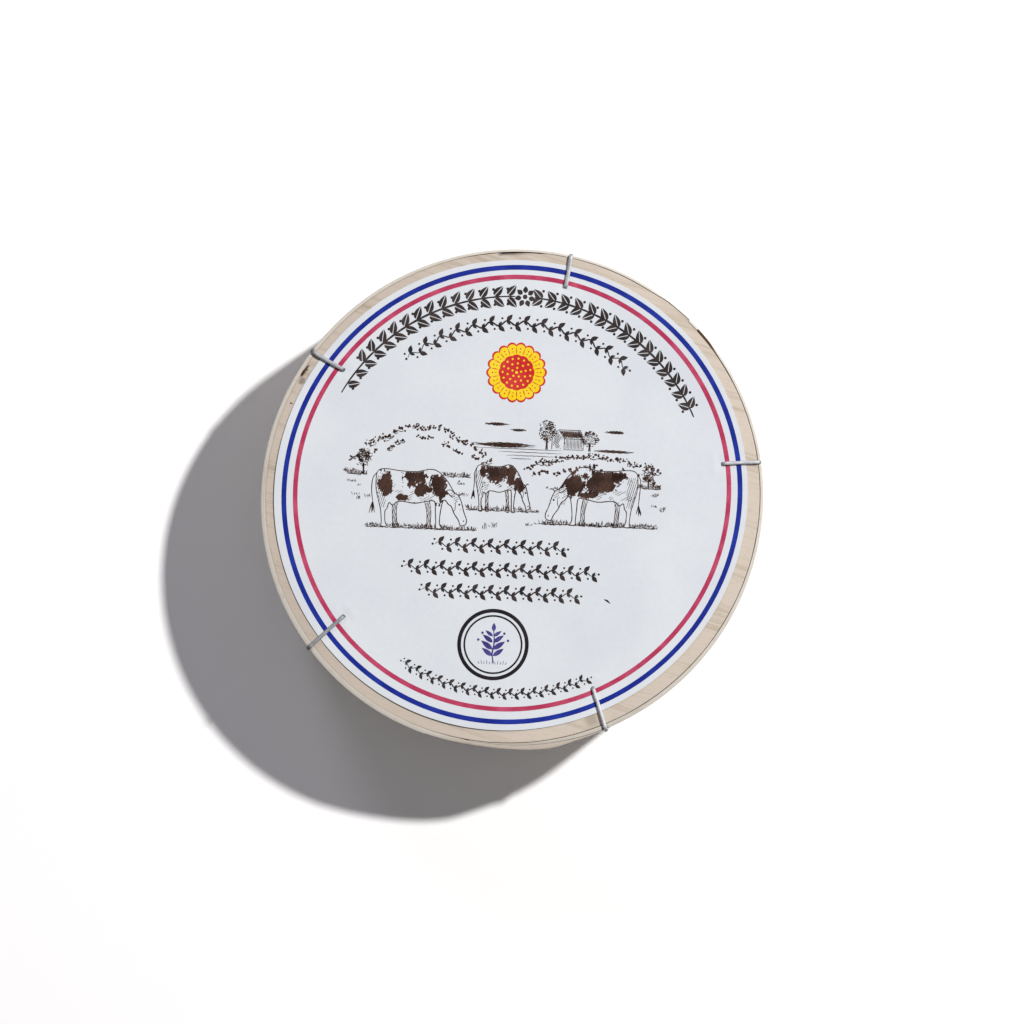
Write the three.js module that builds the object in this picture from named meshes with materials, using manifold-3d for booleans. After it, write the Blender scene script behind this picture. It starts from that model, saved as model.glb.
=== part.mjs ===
// A soft-ripened cheese wheel in its round box of poplar veneer, closed.
//
// The box is two shallow tubs, a base and a lid. Each is a veneer disc inside a hoop, which is one veneer
// strip bent round on itself with a skived lap. Wire staples hold each disc in its hoop: a staple's inner leg
// goes through the disc, it runs out over the hoop's edge, and its outer leg goes in through the hoop. A round
// paper label lies on the lid under the staples, and the wheel lies inside in a paper wrapper.
//
// Units are millimetres, with +Z up. The origin is on the box's axis, in the plane that it stands on.

import * as THREE from 'three';
import { mergeVertices } from 'three/addons/utils/BufferGeometryUtils.js';
import Module from 'manifold-3d';

const wasm = await Module();
wasm.setup();

// ---- driving dimensions ----

const BOX_HEIGHT = 35; // floor to the lid hoop's top edge
const LID_INSIDE_RADIUS = 56.4; // inner face of the lid hoop
const LID_HOOP_DEPTH = 20; // height of the lid hoop
const BASE_HOOP_HEIGHT = 28;
const VENEER = 0.9; // thickness of the hoops
const DISC_THICKNESS = 1.2;
const HOOP_GAP = 0.55; // radial play between the lid hoop and the base hoop
const DISC_GAP = 0.12; // radial play between a disc and its hoop
const DISC_RECESS = 0.95; // base disc's underside above the floor
const LID_RECESS = 0.2; // lid disc's top below the lid hoop's edge

const OVAL = 0.5; // the box is this much longer than round at OVAL_ANGLE, and as much shorter across it
const OVAL_ANGLE = 40;
const ANGLE_STEP = 5; // facets of every round outline, in degrees

const LABEL_RADIUS = 54;
const LABEL_THICKNESS = 0.15;
const LABEL_CENTRE = [-0.18, 0.81];

const WIRE_WIDTH = 1; // the staples are of flattened wire
const WIRE_THICKNESS = 0.65;
const WIRE_EDGE = 0.2; // cut off each corner of the wire's section
const WIRE_CLEARANCE = 0.12; // between a wire and the hole or groove that it makes
const WIRE_REST = 0.05; // between a wire and the face that it lies on
const BEND = 0.9; // how far from a corner a wire starts to bend
const CLINCH = 3.2; // length of each bent-over end
const LEG_PROUD = 0.3; // how far an outer leg stands out of the hoop that it has bitten into
const BASE_PIERCE_HEIGHT = 8; // where a base staple's outer leg goes in
const LID_PIERCE_HEIGHT = BASE_HOOP_HEIGHT + 0.75; // the clinched ends stop the lid on the base hoop's edge

// Each staple: angle and radius of its inner leg, and angle of its outer leg.
const LID_STAPLES = [
  [142.4, 48.3, 143.5],
  [75.7, 49.8, 76.3],
  [9.5, 48.8, 8.4],
  [293.3, 46.9, 292.2],
  [214.9, 46.7, 216.3],
];
const BASE_STAPLES = [
  [137.2, 46.0, 136.4],
  [66.8, 45.2, 67.9],
  [353.1, 46.4, 352.6],
  [283.5, 45.6, 284.4],
  [209.4, 46.1, 208.5],
];

const CHEESE_RADIUS = 52.35;
const CHEESE_EDGE = 4.2; // rounding of the wheel's edges
const CHEESE_CROWN = 0.35; // how much the middle of each face sinks
const WRAPPER_THICKNESS = 0.35;
const WRAPPER_PLAY = 0.2;
const WRAPPER_HOLE = 5; // radius left open where the folds meet under the wheel
const WHEEL_STEP = 7.5; // facets of the wheel and its wrapper, in degrees

// ---- heights and radii that follow from them ----

const baseDiscTop = DISC_RECESS + DISC_THICKNESS;
const lidDiscTop = BOX_HEIGHT - LID_RECESS;
const lidDiscUnderside = lidDiscTop - DISC_THICKNESS;
const labelTop = lidDiscTop + LABEL_THICKNESS;
const lidHoopBottom = BOX_HEIGHT - LID_HOOP_DEPTH;
const wireRest = WIRE_THICKNESS / 2 + WIRE_REST; // from a face to the axis of a wire lying on it
const baseInsideRadius = LID_INSIDE_RADIUS - HOOP_GAP - VENEER;

// ---- materials ----

function finish(color, roughness, metalness = 0) {
  return new THREE.MeshStandardMaterial({ color, roughness, metalness });
}

const poplar = () => finish(0xd8cab4, 0.75);
const labelPaper = () => finish(0xe2e5ee, 0.6);
const wrapperPaper = () => finish(0xf0ede4, 0.45);
const rind = () => finish(0xf1ede1, 0.9);
const galvanised = () => finish(0xa9adb0, 0.4, 0.9);

// ---- solids, joining and cutting ----

function toSolid(geometry) {
  const bare = geometry.clone();
  bare.deleteAttribute('normal');
  bare.deleteAttribute('uv');
  const merged = mergeVertices(bare, 1e-5);
  return new wasm.Manifold(
    new wasm.Mesh({
      numProp: 3,
      vertProperties: new Float32Array(merged.attributes.position.array),
      triVerts: new Uint32Array(merged.index.array),
    }),
  );
}

function toGeometry(solid) {
  const { vertProperties, triVerts } = solid.getMesh();
  const geometry = new THREE.BufferGeometry();
  geometry.setAttribute('position', new THREE.BufferAttribute(vertProperties, 3));
  geometry.setIndex(new THREE.BufferAttribute(triVerts, 1));
  geometry.computeVertexNormals();
  return geometry;
}

function cutAway(geometry, cutters) {
  return toGeometry(cutters.reduce((rest, cutter) => rest.subtract(toSolid(cutter)), toSolid(geometry)));
}

// ---- round outlines ----

const radians = THREE.MathUtils.degToRad;

function oval(angle) {
  return OVAL * Math.cos(2 * radians(angle - OVAL_ANGLE));
}

function polar(radius, angle) {
  return new THREE.Vector2(radius * Math.cos(radians(angle)), radius * Math.sin(radians(angle)));
}

// Points at equal steps of angle, each at the radius that radiusAt gives for its angle.
function outline(radiusAt, from = 0, to = 360 - ANGLE_STEP) {
  const points = [];
  for (let angle = from; angle <= to; angle += ANGLE_STEP) points.push(polar(radiusAt(angle), angle));
  return points;
}

function slab(points, bottom, height) {
  const geometry = new THREE.ExtrudeGeometry(new THREE.Shape(points), { depth: height, bevelEnabled: false });
  return geometry.translate(0, 0, bottom);
}

// ---- hoops: a strip that starts skived, goes once round, and laps over its own start ----

// lap: angle where the strip starts, how far it laps over, how far the start's skive runs, and where over the
// lap the outer layer begins to thin out.
const LID_LAP = { start: 260, length: 33, skive: 30, thinsFrom: 18 };
const BASE_LAP = { start: 100, length: 40, skive: 40, thinsFrom: 0 };
const SKIVED = 0.2; // thickness left at a skived end
const LAP_GAP = 0.08; // between the two layers
const LAP_RAMP = 10; // the strip leaves the round this many degrees before it meets its own start

const { clamp, lerp } = THREE.MathUtils;

// Thickness of the strip, and how far its inner face stands off the round, at each angle along the strip.
function stripThickness(lap, along) {
  const start = lerp(SKIVED, VENEER, clamp(along / lap.skive, 0, 1));
  const end = lerp(VENEER, SKIVED, clamp((along - 360 - lap.thinsFrom) / (lap.length - lap.thinsFrom), 0, 1));
  return Math.min(start, end);
}

function stripOffset(lap, along) {
  if (along > 360) return stripThickness(lap, along - 360) + LAP_GAP;
  return (SKIVED + LAP_GAP) * clamp((along - 360 + LAP_RAMP) / LAP_RAMP, 0, 1);
}

function hoopGeometry(lap, insideRadius, bottom, height) {
  const innerFace = (angle) => insideRadius + oval(angle) + stripOffset(lap, angle - lap.start);
  const outerFace = (angle) => innerFace(angle) + stripThickness(lap, angle - lap.start);
  const end = lap.start + 360 + lap.length;
  const outside = outline(outerFace, lap.start, end);
  const inside = outline(innerFace, lap.start, end);
  return slab([...outside, ...inside.reverse()], bottom, height);
}

// Radius of the hoop's outermost face at an angle, whichever layer is outside there.
function hoopOutside(lap, insideRadius, angle) {
  const along = (angle - lap.start + 360) % 360;
  const outer = along < lap.length ? along + 360 : along;
  return insideRadius + oval(angle) + stripOffset(lap, outer) + stripThickness(lap, outer);
}

// ---- staples ----

// A curve through its points in straight runs, so that the wire keeps exactly the bends it is given.
class WirePath extends THREE.Curve {
  constructor(points) {
    super();
    this.points = points;
  }

  getUtoTmapping(u) {
    return u;
  }

  getPoint(t, target = new THREE.Vector3()) {
    const last = this.points.length - 1;
    const before = Math.min(Math.floor(t * last), last - 1);
    return target.lerpVectors(this.points[before], this.points[before + 1], t * last - before);
  }
}

function roundCorners(corners) {
  const points = [corners[0]];
  for (let i = 1; i < corners.length - 1; i += 1) {
    const toward = (other) => {
      const reach = Math.min(BEND, corners[i].distanceTo(other) / 2);
      return corners[i].clone().add(other.clone().sub(corners[i]).setLength(reach));
    };
    const bend = new THREE.QuadraticBezierCurve3(toward(corners[i - 1]), corners[i], toward(corners[i + 1]));
    points.push(...bend.getPoints(3));
  }
  points.push(corners.at(-1));
  return points;
}

// The wire's section: its thickness along the first axis, its width along the second, and its corners cut off.
function wireSection(extra) {
  const thick = WIRE_THICKNESS / 2 + extra;
  const wide = WIRE_WIDTH / 2 + extra;
  const half = [
    new THREE.Vector2(thick, WIRE_EDGE - wide),
    new THREE.Vector2(thick, wide - WIRE_EDGE),
    new THREE.Vector2(thick - WIRE_EDGE, wide),
    new THREE.Vector2(WIRE_EDGE - thick, wide),
  ];
  return new THREE.Shape([...half, ...half.map((point) => point.clone().negate())]);
}

// A wire through the corners, larger all round by extra. Its width lies across the plane that it bends in.
function wire(corners, extra = 0) {
  const section = wireSection(extra);
  const points = roundCorners(corners);
  return new THREE.ExtrudeGeometry(section, {
    steps: points.length - 1,
    bevelEnabled: false,
    extrudePath: new WirePath(points),
  });
}

// Corners of a staple, from the clinched end of its inner leg to the clinched end of its outer leg.
// over is the height of its long run and under that of its inner clinch, on the disc's other face.
function stapleCorners([innerAngle, innerRadius, outerAngle], tub) {
  const inner = polar(innerRadius, innerAngle);
  const outside = hoopOutside(tub.lap, tub.insideRadius, outerAngle);
  const outer = polar(outside + LEG_PROUD - WIRE_THICKNESS / 2, outerAngle);
  const direction = outer.clone().sub(inner).normalize();
  const insideHoop = polar(tub.insideRadius + oval(outerAngle) - wireRest - WIRE_REST, outerAngle);
  const at = (point, along, height) =>
    new THREE.Vector3(point.x + direction.x * along, point.y + direction.y * along, height);
  return [
    at(inner, -CLINCH, tub.under),
    at(inner, 0, tub.under),
    at(inner, 0, tub.over),
    at(outer, 0, tub.over),
    at(outer, 0, tub.pierce),
    at(insideHoop, 0, tub.pierce),
    at(insideHoop, 0, tub.pierce + CLINCH),
  ];
}

const lidTub = {
  lap: LID_LAP,
  insideRadius: LID_INSIDE_RADIUS,
  over: labelTop + wireRest,
  under: lidDiscUnderside - wireRest,
  pierce: LID_PIERCE_HEIGHT,
};
const baseTub = {
  lap: BASE_LAP,
  insideRadius: baseInsideRadius,
  over: wireRest,
  under: baseDiscTop + wireRest,
  pierce: BASE_PIERCE_HEIGHT,
};

const lidStaples = LID_STAPLES.map((staple) => stapleCorners(staple, lidTub));
const baseStaples = BASE_STAPLES.map((staple) => stapleCorners(staple, baseTub));

const holesFor = (staples) => staples.map((corners) => wire(corners, WIRE_CLEARANCE));

// A notch in the base hoop's lower edge, so that the wire lies inside it and the box stands on the edge.
function edgeNotch(corners) {
  const [, , inner, outer] = corners;
  const length = VENEER * 4;
  const width = WIRE_WIDTH + 2 * WIRE_CLEARANCE;
  const notch = new THREE.BoxGeometry(length, width, 2 * DISC_RECESS);
  notch.rotateZ(Math.atan2(outer.y - inner.y, outer.x - inner.x));
  return notch.translate(outer.x, outer.y, 0);
}

// ---- the wheel and its wrapper ----

// Half of a wheel's section: across the top from the axis, round both edges, and back to innerRadius.
function wheelProfile(radius, edge, bottom, top, innerRadius) {
  const path = new THREE.Path();
  path.moveTo(0, top - CHEESE_CROWN);
  path.lineTo(radius - 4 * edge, top);
  path.lineTo(radius - edge, top);
  path.quadraticCurveTo(radius, top, radius, top - edge);
  path.lineTo(radius, bottom + edge);
  path.quadraticCurveTo(radius, bottom, radius - edge, bottom);
  path.lineTo(radius - 4 * edge, bottom);
  path.lineTo(innerRadius, bottom + CHEESE_CROWN);
  return path.getPoints(4);
}

const spin = (profile) => new THREE.LatheGeometry(profile, 360 / WHEEL_STEP).rotateX(Math.PI / 2);

function wheelGeometry(bottom, top) {
  return spin(wheelProfile(CHEESE_RADIUS, CHEESE_EDGE, bottom, top, 0).reverse());
}

function wrapperGeometry(bottom, top) {
  const outerRadius = CHEESE_RADIUS + WRAPPER_PLAY + WRAPPER_THICKNESS;
  const outerEdge = CHEESE_EDGE + WRAPPER_THICKNESS;
  const outside = wheelProfile(outerRadius, outerEdge, bottom, top, WRAPPER_HOLE);
  const inside = wheelProfile(
    outerRadius - WRAPPER_THICKNESS,
    CHEESE_EDGE,
    bottom + WRAPPER_THICKNESS,
    top - WRAPPER_THICKNESS,
    WRAPPER_HOLE,
  );
  return spin([...outside, ...inside.reverse()].reverse());
}

// ---- assembly ----

const box = new THREE.Group();

function addPiece(name, geometry, material) {
  const mesh = new THREE.Mesh(geometry, material);
  mesh.name = name;
  box.add(mesh);
}

function addDisc(name, hoopInside, bottom, staples) {
  const disc = slab(outline((angle) => hoopInside - DISC_GAP + oval(angle)), bottom, DISC_THICKNESS);
  addPiece(name, cutAway(disc, holesFor(staples)), poplar());
}

addDisc('base_disc', baseInsideRadius, DISC_RECESS, baseStaples);
addDisc('lid_disc', LID_INSIDE_RADIUS, lidDiscUnderside, lidStaples);

const baseHoop = hoopGeometry(BASE_LAP, baseInsideRadius, 0, BASE_HOOP_HEIGHT);
addPiece('base_hoop', cutAway(baseHoop, [...holesFor(baseStaples), ...baseStaples.map(edgeNotch)]), poplar());

const lidHoop = hoopGeometry(LID_LAP, LID_INSIDE_RADIUS, lidHoopBottom, LID_HOOP_DEPTH);
addPiece('lid_hoop', cutAway(lidHoop, holesFor(lidStaples)), poplar());

const labelOutline = outline((angle) => LABEL_RADIUS + oval(angle));
const label = slab(labelOutline, lidDiscTop, LABEL_THICKNESS).translate(...LABEL_CENTRE, 0);
addPiece('label', cutAway(label, holesFor(lidStaples)), labelPaper());

const wrapperBottom = baseTub.under + wireRest + WRAPPER_PLAY;
const wrapperTop = lidTub.under - wireRest - WRAPPER_PLAY;
const wheelInset = WRAPPER_THICKNESS + WRAPPER_PLAY;
addPiece('wrapper', wrapperGeometry(wrapperBottom, wrapperTop), wrapperPaper());
addPiece('cheese', wheelGeometry(wrapperBottom + wheelInset, wrapperTop - wheelInset), rind());

lidStaples.forEach((corners, i) => addPiece(`lid_staple_${i + 1}`, wire(corners), galvanised()));
baseStaples.forEach((corners, i) => addPiece(`base_staple_${i + 1}`, wire(corners), galvanised()));

export default box;
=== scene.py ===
import math
import random

import bmesh
import bpy
import numpy as np
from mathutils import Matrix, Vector, noise
from mathutils.geometry import tessellate_polygon


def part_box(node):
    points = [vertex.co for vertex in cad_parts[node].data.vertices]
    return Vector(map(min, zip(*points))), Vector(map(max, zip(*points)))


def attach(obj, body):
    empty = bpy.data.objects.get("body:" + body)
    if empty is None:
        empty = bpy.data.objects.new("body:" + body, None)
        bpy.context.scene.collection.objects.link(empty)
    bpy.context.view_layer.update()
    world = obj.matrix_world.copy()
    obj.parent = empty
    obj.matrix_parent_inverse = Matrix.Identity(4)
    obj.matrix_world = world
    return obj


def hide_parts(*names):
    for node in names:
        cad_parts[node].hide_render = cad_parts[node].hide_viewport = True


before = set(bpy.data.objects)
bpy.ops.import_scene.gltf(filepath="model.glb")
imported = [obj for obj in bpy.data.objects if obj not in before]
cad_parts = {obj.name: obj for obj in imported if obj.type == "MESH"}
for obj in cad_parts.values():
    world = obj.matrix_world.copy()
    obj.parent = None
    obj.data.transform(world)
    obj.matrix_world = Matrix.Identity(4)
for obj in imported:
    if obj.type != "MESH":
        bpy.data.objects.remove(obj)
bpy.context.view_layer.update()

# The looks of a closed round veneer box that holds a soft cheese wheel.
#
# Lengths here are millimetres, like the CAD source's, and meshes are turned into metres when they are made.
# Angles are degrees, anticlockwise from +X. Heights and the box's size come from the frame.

MM = 0.001


# ---- sizes ----

def height_of(node, end):
    """The lowest (end 0) or highest (end 1) height of a CAD node, in millimetres."""
    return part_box(node)[end][2] / MM


LID_INSIDE = 56.4  # radius of the lid hoop's inner face
BASE_INSIDE = 54.95  # radius of the base hoop's inner face
VENEER = 0.9  # thickness of a hoop's strip
OVAL = 0.5  # how much the box's radius grows along its long axis, and shrinks across it
OVAL_ANGLE = 40  # direction of the long axis
SKIVED = 0.2  # thickness that a strip's ends are pared down to
LAP_GAP = 0.08  # between the two layers of a lap
LAP_RAMP = 10  # degrees over which a strip moves out to pass over its own start
# Where a lap starts, how long it is, how far the strip's start is pared, and where its end starts to thin.
LID_LAP = dict(start=260, length=33, skive=30, thins_from=18)
BASE_LAP = dict(start=100, length=40, skive=40, thins_from=0)

LABEL_RADIUS = 53.95
LABEL_CENTRE = (-0.18, 0.81)
LABEL_THICKNESS = 0.11

WIRE_WIDTH = 1.0
WIRE_THICKNESS = 0.65
WIRE_REST = 0.05  # gap between a wire and what it lies on
WIRE_BEND = 0.9  # reach of a bend along the wire to each side of its corner
LEG_DEPTH = 6.3  # from the lid's edge down to where its staples go in through the hoop
BASE_LEG_DEPTH = 8.1  # the same from the base's foot up
CLINCH = 3.2  # length of a leg's bent-over end
LEG_PROUD = 0.3  # how far an outer leg stands out of the hoop
LID_PIERCE = height_of("base_hoop", 1) + 0.75  # height where the lid's staples go through
BASE_PIERCE = 8  # height where the base's staples go through

# Angle and radius of each staple's inner leg, and angle of its outer leg.
LID_STAPLES = [
    (142.4, 48.3, 143.5), (75.7, 49.8, 76.3), (9.5, 48.8, 8.4), (293.3, 46.9, 292.2), (214.9, 46.7, 216.3),
]
BASE_STAPLES = [
    (137.2, 46.0, 136.4), (66.8, 45.2, 67.9), (353.1, 46.4, 352.6), (283.5, 45.6, 284.4),
    (209.4, 46.1, 208.5),
]

GRAIN_ANGLE = -17  # direction of the lid disc's grain

lid_top = height_of("lid_hoop", 1)
disc_top = height_of("lid_disc", 1)
disc_underside = height_of("lid_disc", 0)
base_disc_top = height_of("base_disc", 1)


# ---- small maths ----

def clamp(value, low=0.0, high=1.0):
    return max(low, min(high, value))


def mix(a, b, share):
    return a + (b - a) * share


def smooth_step(low, high, value):
    t = clamp((value - low) / (high - low))
    return t * t * (3 - 2 * t)


def polar(radius, angle):
    return radius * math.cos(math.radians(angle)), radius * math.sin(math.radians(angle))


def turned(x, y, angle):
    c, s = math.cos(math.radians(angle)), math.sin(math.radians(angle))
    return x * c - y * s, x * s + y * c


def angle_between(a, b):
    """Signed difference of two angles, from -180 to 180."""
    return (a - b + 180) % 360 - 180


def ripple(x, y, z=0.0, scale=1.0):
    return noise.noise(Vector((x * scale, y * scale, z)))


def bump(value, centre, half_width):
    """1 at centre, falling smoothly to 0 at half_width from it."""
    return 1 - smooth_step(0, half_width, abs(value - centre))


def between(value, start, full, fade, end):
    """0 up to start, 1 from full to fade, and 0 again from end on, with smooth steps."""
    return smooth_step(start, full, value) * smooth_step(end, fade, value)


def oval(angle):
    return OVAL * math.cos(2 * math.radians(angle - OVAL_ANGLE))


# ---- materials ----

class Shader:
    """A material's node tree, with short calls for the nodes used here."""

    def __init__(self, name):
        self.material = bpy.data.materials.new(name)
        self.material.use_nodes = True
        self.tree = self.material.node_tree
        self.surface = self.tree.nodes["Principled BSDF"]

    def node(self, kind, settings=None, **inputs):
        node = self.tree.nodes.new(kind)
        for key, value in (settings or {}).items():
            setattr(node, key, value)
        for key, value in inputs.items():
            self.feed(node, int(key[1:]) if key[1:].isdigit() else key, value)
        return node

    def feed(self, node, socket, value):
        target = node.inputs[socket]
        if isinstance(value, bpy.types.NodeSocket):
            self.tree.links.new(value, target)
        else:
            target.default_value = value

    def set(self, **inputs):
        for key, value in inputs.items():
            self.feed(self.surface, key.replace("_", " "), value)

    def noise(self, scale, detail=3.0, roughness=0.5, distortion=0.0):
        """Noise over the object's millimetres, or along the grain if the scale has a number for each axis."""
        if isinstance(scale, tuple):
            where = self.node("ShaderNodeAttribute", {"attribute_name": "grain"}).outputs["Vector"]
        else:
            where = self.node("ShaderNodeTexCoord").outputs["Object"]
            scale = (scale / MM,) * 3
        mapping = self.node("ShaderNodeMapping", Vector=where, Scale=scale)
        return self.node("ShaderNodeTexNoise", Vector=mapping.outputs[0], Scale=1.0, Detail=detail,
                         Roughness=roughness, Distortion=distortion).outputs[0]

    def stain_and_shade(self):
        return self.node("ShaderNodeAttribute", {"attribute_name": "stain_and_shade"}).outputs["Fac"]

    def ramp(self, value, stops):
        node = self.node("ShaderNodeValToRGB", _0=value)
        elements = node.color_ramp.elements
        while len(elements) < len(stops):
            elements.new(0.5)
        for element, (place, colour) in zip(elements, stops):
            element.position = place
            element.color = (*colour, 1)
        return node.outputs[0]

    def blend(self, share, a, b, mode="MIX"):
        node = self.node("ShaderNodeMix", {"data_type": "RGBA", "blend_type": mode})
        self.feed(node, 0, share)
        for socket, value in ((6, a), (7, b)):
            self.feed(node, socket, value if isinstance(value, bpy.types.NodeSocket) else (*value, 1))
        return node.outputs[2]

    def sum(self, a, b, factor):
        return self.node("ShaderNodeMath", {"operation": "MULTIPLY_ADD"}, _0=b, _1=factor, _2=a).outputs[0]

    def relief(self, height, distance, strength=1.0):
        node = self.node("ShaderNodeBump", Height=height, Distance=distance * MM, Strength=strength)
        self.feed(self.surface, "Normal", node.outputs[0])


def srgb(r, g, b):
    """A colour given as 0 to 255 display values, in the linear values that shaders take."""
    return tuple(((v / 255 + 0.055) / 1.055) ** 2.4 if v > 10 else v / 255 / 12.92 for v in (r, g, b))


def veneer_material(name, pale, dark, stain_and_shade):
    """Rotary-cut poplar. Its grain runs along the first axis of the mesh's "grain" attribute."""
    shader = Shader(name)
    streaks = shader.noise((0.03, 0.9, 0.5), 4.0, 0.6, 0.4)
    bands = shader.noise((0.012, 0.16, 0.1), 2.0, 0.5)
    fibres = shader.noise((0.22, 7.0, 3.0), 3.0, 0.65)
    tone = shader.sum(shader.sum(streaks, bands, 0.7), fibres, 0.35)
    wood = shader.ramp(tone, [(0.72, dark), (1.22, pale)])
    pores = shader.ramp(shader.noise((0.5, 9.0, 4.0), 1.0), [(0.3, (0.62, 0.5, 0.38)), (0.4, (1, 1, 1))])
    wood = shader.blend(0.35, wood, pores, "MULTIPLY")
    # Blends towards the last colour where the mesh's darkening attribute says: real marks, and painted shade.
    wood = shader.blend(shader.stain_and_shade(), wood, stain_and_shade)
    shader.set(Base_Color=wood, Roughness=0.72, Specular_IOR_Level=0.25)
    shader.relief(shader.sum(streaks, fibres, 0.8), 0.035, 0.5)
    return shader.material


def mottled(name, coarse, fine, share, stops, **surface):
    """A material coloured by coarse noise and a share of fine noise. Gives its shader and the fine noise."""
    shader = Shader(name)
    specks = shader.noise(*fine)
    tone = shader.sum(shader.noise(*coarse), specks, share)
    shader.set(Base_Color=shader.ramp(tone, stops), **surface)
    return shader, specks


def paper_material(name, tint, shade, fibre_scale, relief):
    shader, _ = mottled(name, (0.05, 3.0, 0.55), (0.8, 4.0, 0.6), 0.45, [(0.55, shade), (0.9, tint)],
                        Roughness=0.58, Specular_IOR_Level=0.35)
    shader.relief(shader.noise(fibre_scale, 5.0, 0.6, 0.8), relief, 0.5)
    return shader.material


def ink_material(name, full, thin):
    """Printed ink: full colour, thinner in fine specks and soft clouds."""
    shader, specks = mottled(name, (0.25, 3.0, 0.5), (4.5, 2.0, 0.7), 0.5, [(0.55, thin), (0.85, full)],
                             Roughness=0.55, Specular_IOR_Level=0.2)
    shader.relief(specks, 0.004, 0.4)
    return shader.material


def wire_material():
    """Dull galvanised wire with drawn scratches along it and patches of zinc bloom."""
    shader = Shader("galvanised_wire")
    bloom = shader.noise(1.1, 4.0, 0.65)
    scratches = shader.noise((0.5, 9.0, 9.0), 3.0, 0.6)
    tone = shader.sum(bloom, scratches, 0.6)
    colour = shader.ramp(tone, [(0.6, srgb(176, 178, 182)), (0.95, srgb(212, 213, 217))])
    rough = shader.ramp(bloom, [(0.35, (0.55, 0.55, 0.55)), (0.65, (0.68, 0.68, 0.68))])
    # Blends towards dark grey where the mesh's darkening attribute says: painted shade set for each wire, and
    # darker bends.
    colour = shader.blend(shader.stain_and_shade(), colour, srgb(66, 68, 73))
    shader.set(Base_Color=colour, Metallic=0.7, Roughness=rough)
    shader.relief(shader.sum(scratches, bloom, 0.7), 0.02, 0.6)
    return shader.material


def rind_material():
    """White bloomy rind, matt, with faint straw patches and the fine pile of the mould."""
    colours = [(0.5, srgb(222, 205, 165)), (0.68, srgb(243, 238, 224)), (0.9, srgb(250, 248, 242))]
    shader, pile = mottled("bloomy_rind", (0.09, 5.0, 0.6, 0.6), (2.2, 5.0, 0.7), 0.35, colours,
                           Roughness=0.95, Specular_IOR_Level=0.1, Sheen_Weight=0.4, Sheen_Roughness=0.6,
                           Subsurface_Weight=0.15, Subsurface_Radius=(0.004, 0.003, 0.002))
    shader.relief(pile, 0.25, 0.8)
    return shader.material


def floor_material():
    shader = Shader("white_paper_ground")
    pale = shader.ramp(shader.noise(0.01, 2.0), [(0.3, (0.98,) * 3), (0.7, (0.99,) * 3)])
    shader.set(Base_Color=pale, Roughness=0.9, Specular_IOR_Level=0.0)
    return shader.material


# On the lid disc the last colour darkens the knot and other marks, and also paints shade, such as a staple
# wire's shadow.
disc_wood = veneer_material("poplar_disc", srgb(207, 195, 181), srgb(178, 164, 145), srgb(62, 42, 26))
# On the lid hoop the last colour is painted shade only, in its torn place and on its lap's outer layer.
hoop_wood = veneer_material("poplar_hoop", srgb(203, 197, 187), srgb(180, 171, 157), srgb(150, 108, 62))
base_wood = veneer_material("poplar_base", srgb(206, 197, 183), srgb(178, 165, 146), srgb(70, 46, 30))
label_paper = paper_material("label_paper", srgb(213, 218, 222), srgb(206, 211, 217), 5.0, 0.012)
wrapper_paper = paper_material("wrapper_paper", srgb(240, 237, 228), srgb(228, 224, 212), 2.0, 0.05)
galvanised = wire_material()


# ---- meshes ----

def add_object(name, data):
    thing = bpy.data.objects.new(name, data)
    bpy.context.scene.collection.objects.link(thing)
    return thing


def add_piece(name, shape, material, slot, replaces=(), grain=None, stain_and_shade=None, sharp=40):
    """Makes a closed mesh from vertices in millimetres and faces, and hands it to the frame. Which way the
    faces look is worked out here."""
    verts, faces = shape
    mesh = bpy.data.meshes.new(name)
    mesh.from_pydata((np.asarray(verts, float) * MM).tolist(), [], faces)
    if grain is not None:
        mesh.attributes.new("grain", "FLOAT_VECTOR", "POINT").data.foreach_set("vector", np.ravel(grain))
    if stain_and_shade is not None:
        mesh.attributes.new("stain_and_shade", "FLOAT", "POINT").data.foreach_set("value", np.ravel(stain_and_shade))
    work = bmesh.new()
    work.from_mesh(mesh)
    bmesh.ops.recalc_face_normals(work, faces=work.faces)
    work.to_mesh(mesh)
    work.free()
    mesh.polygons.foreach_set("use_smooth", [True] * len(mesh.polygons))
    mesh.set_sharp_from_angle(angle=math.radians(sharp))
    mesh.materials.append(material)
    piece = add_object(name, mesh)
    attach(piece, "root")
    if replaces:
        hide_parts(*replaces)


def loft(sections):
    """Vertices and faces of a solid through closed loops with equal point counts, capped at both ends."""
    verts = [point for section in sections for point in section]
    count = len(sections[0])
    last = len(verts) - count
    faces = []
    for i in range(0, last, count):
        for j in range(count):
            k = (j + 1) % count
            faces.append((i + j, i + k, i + count + k, i + count + j))
    faces.append(tuple(range(count - 1, -1, -1)))
    faces.append(tuple(range(last, last + count)))
    return verts, faces


def revolve(rows):
    """Vertices and faces of a solid of round rows. The first and last are single points on the axis."""
    around = len(rows[1])
    verts = [rows[0], *(point for row in rows[1:-1] for point in row), rows[-1]]
    last = len(verts) - 1
    faces = [(0, 1 + j, 1 + (j + 1) % around) for j in range(around)]
    for i in range(len(rows) - 3):
        a = 1 + i * around
        b = a + around
        for j in range(around):
            k = (j + 1) % around
            faces.append((a + j, b + j, b + k, a + k))
    a = last - around
    faces += [(last, a + (j + 1) % around, a + j) for j in range(around)]
    return verts, faces


def spread(low, high, step, fine=()):
    """Values from low to high at a step, with finer steps in the (from, to, step) stretches given."""
    values = set(np.round(np.arange(low, high + 1e-6, step), 4)) | {low, high}
    for start, end, small in fine:
        values = {v for v in values if not start < v < end}
        values |= set(np.round(np.arange(start, end + 1e-6, small), 4))
    return sorted(float(v) for v in values if low <= v <= high)


# ---- hoops ----

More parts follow.
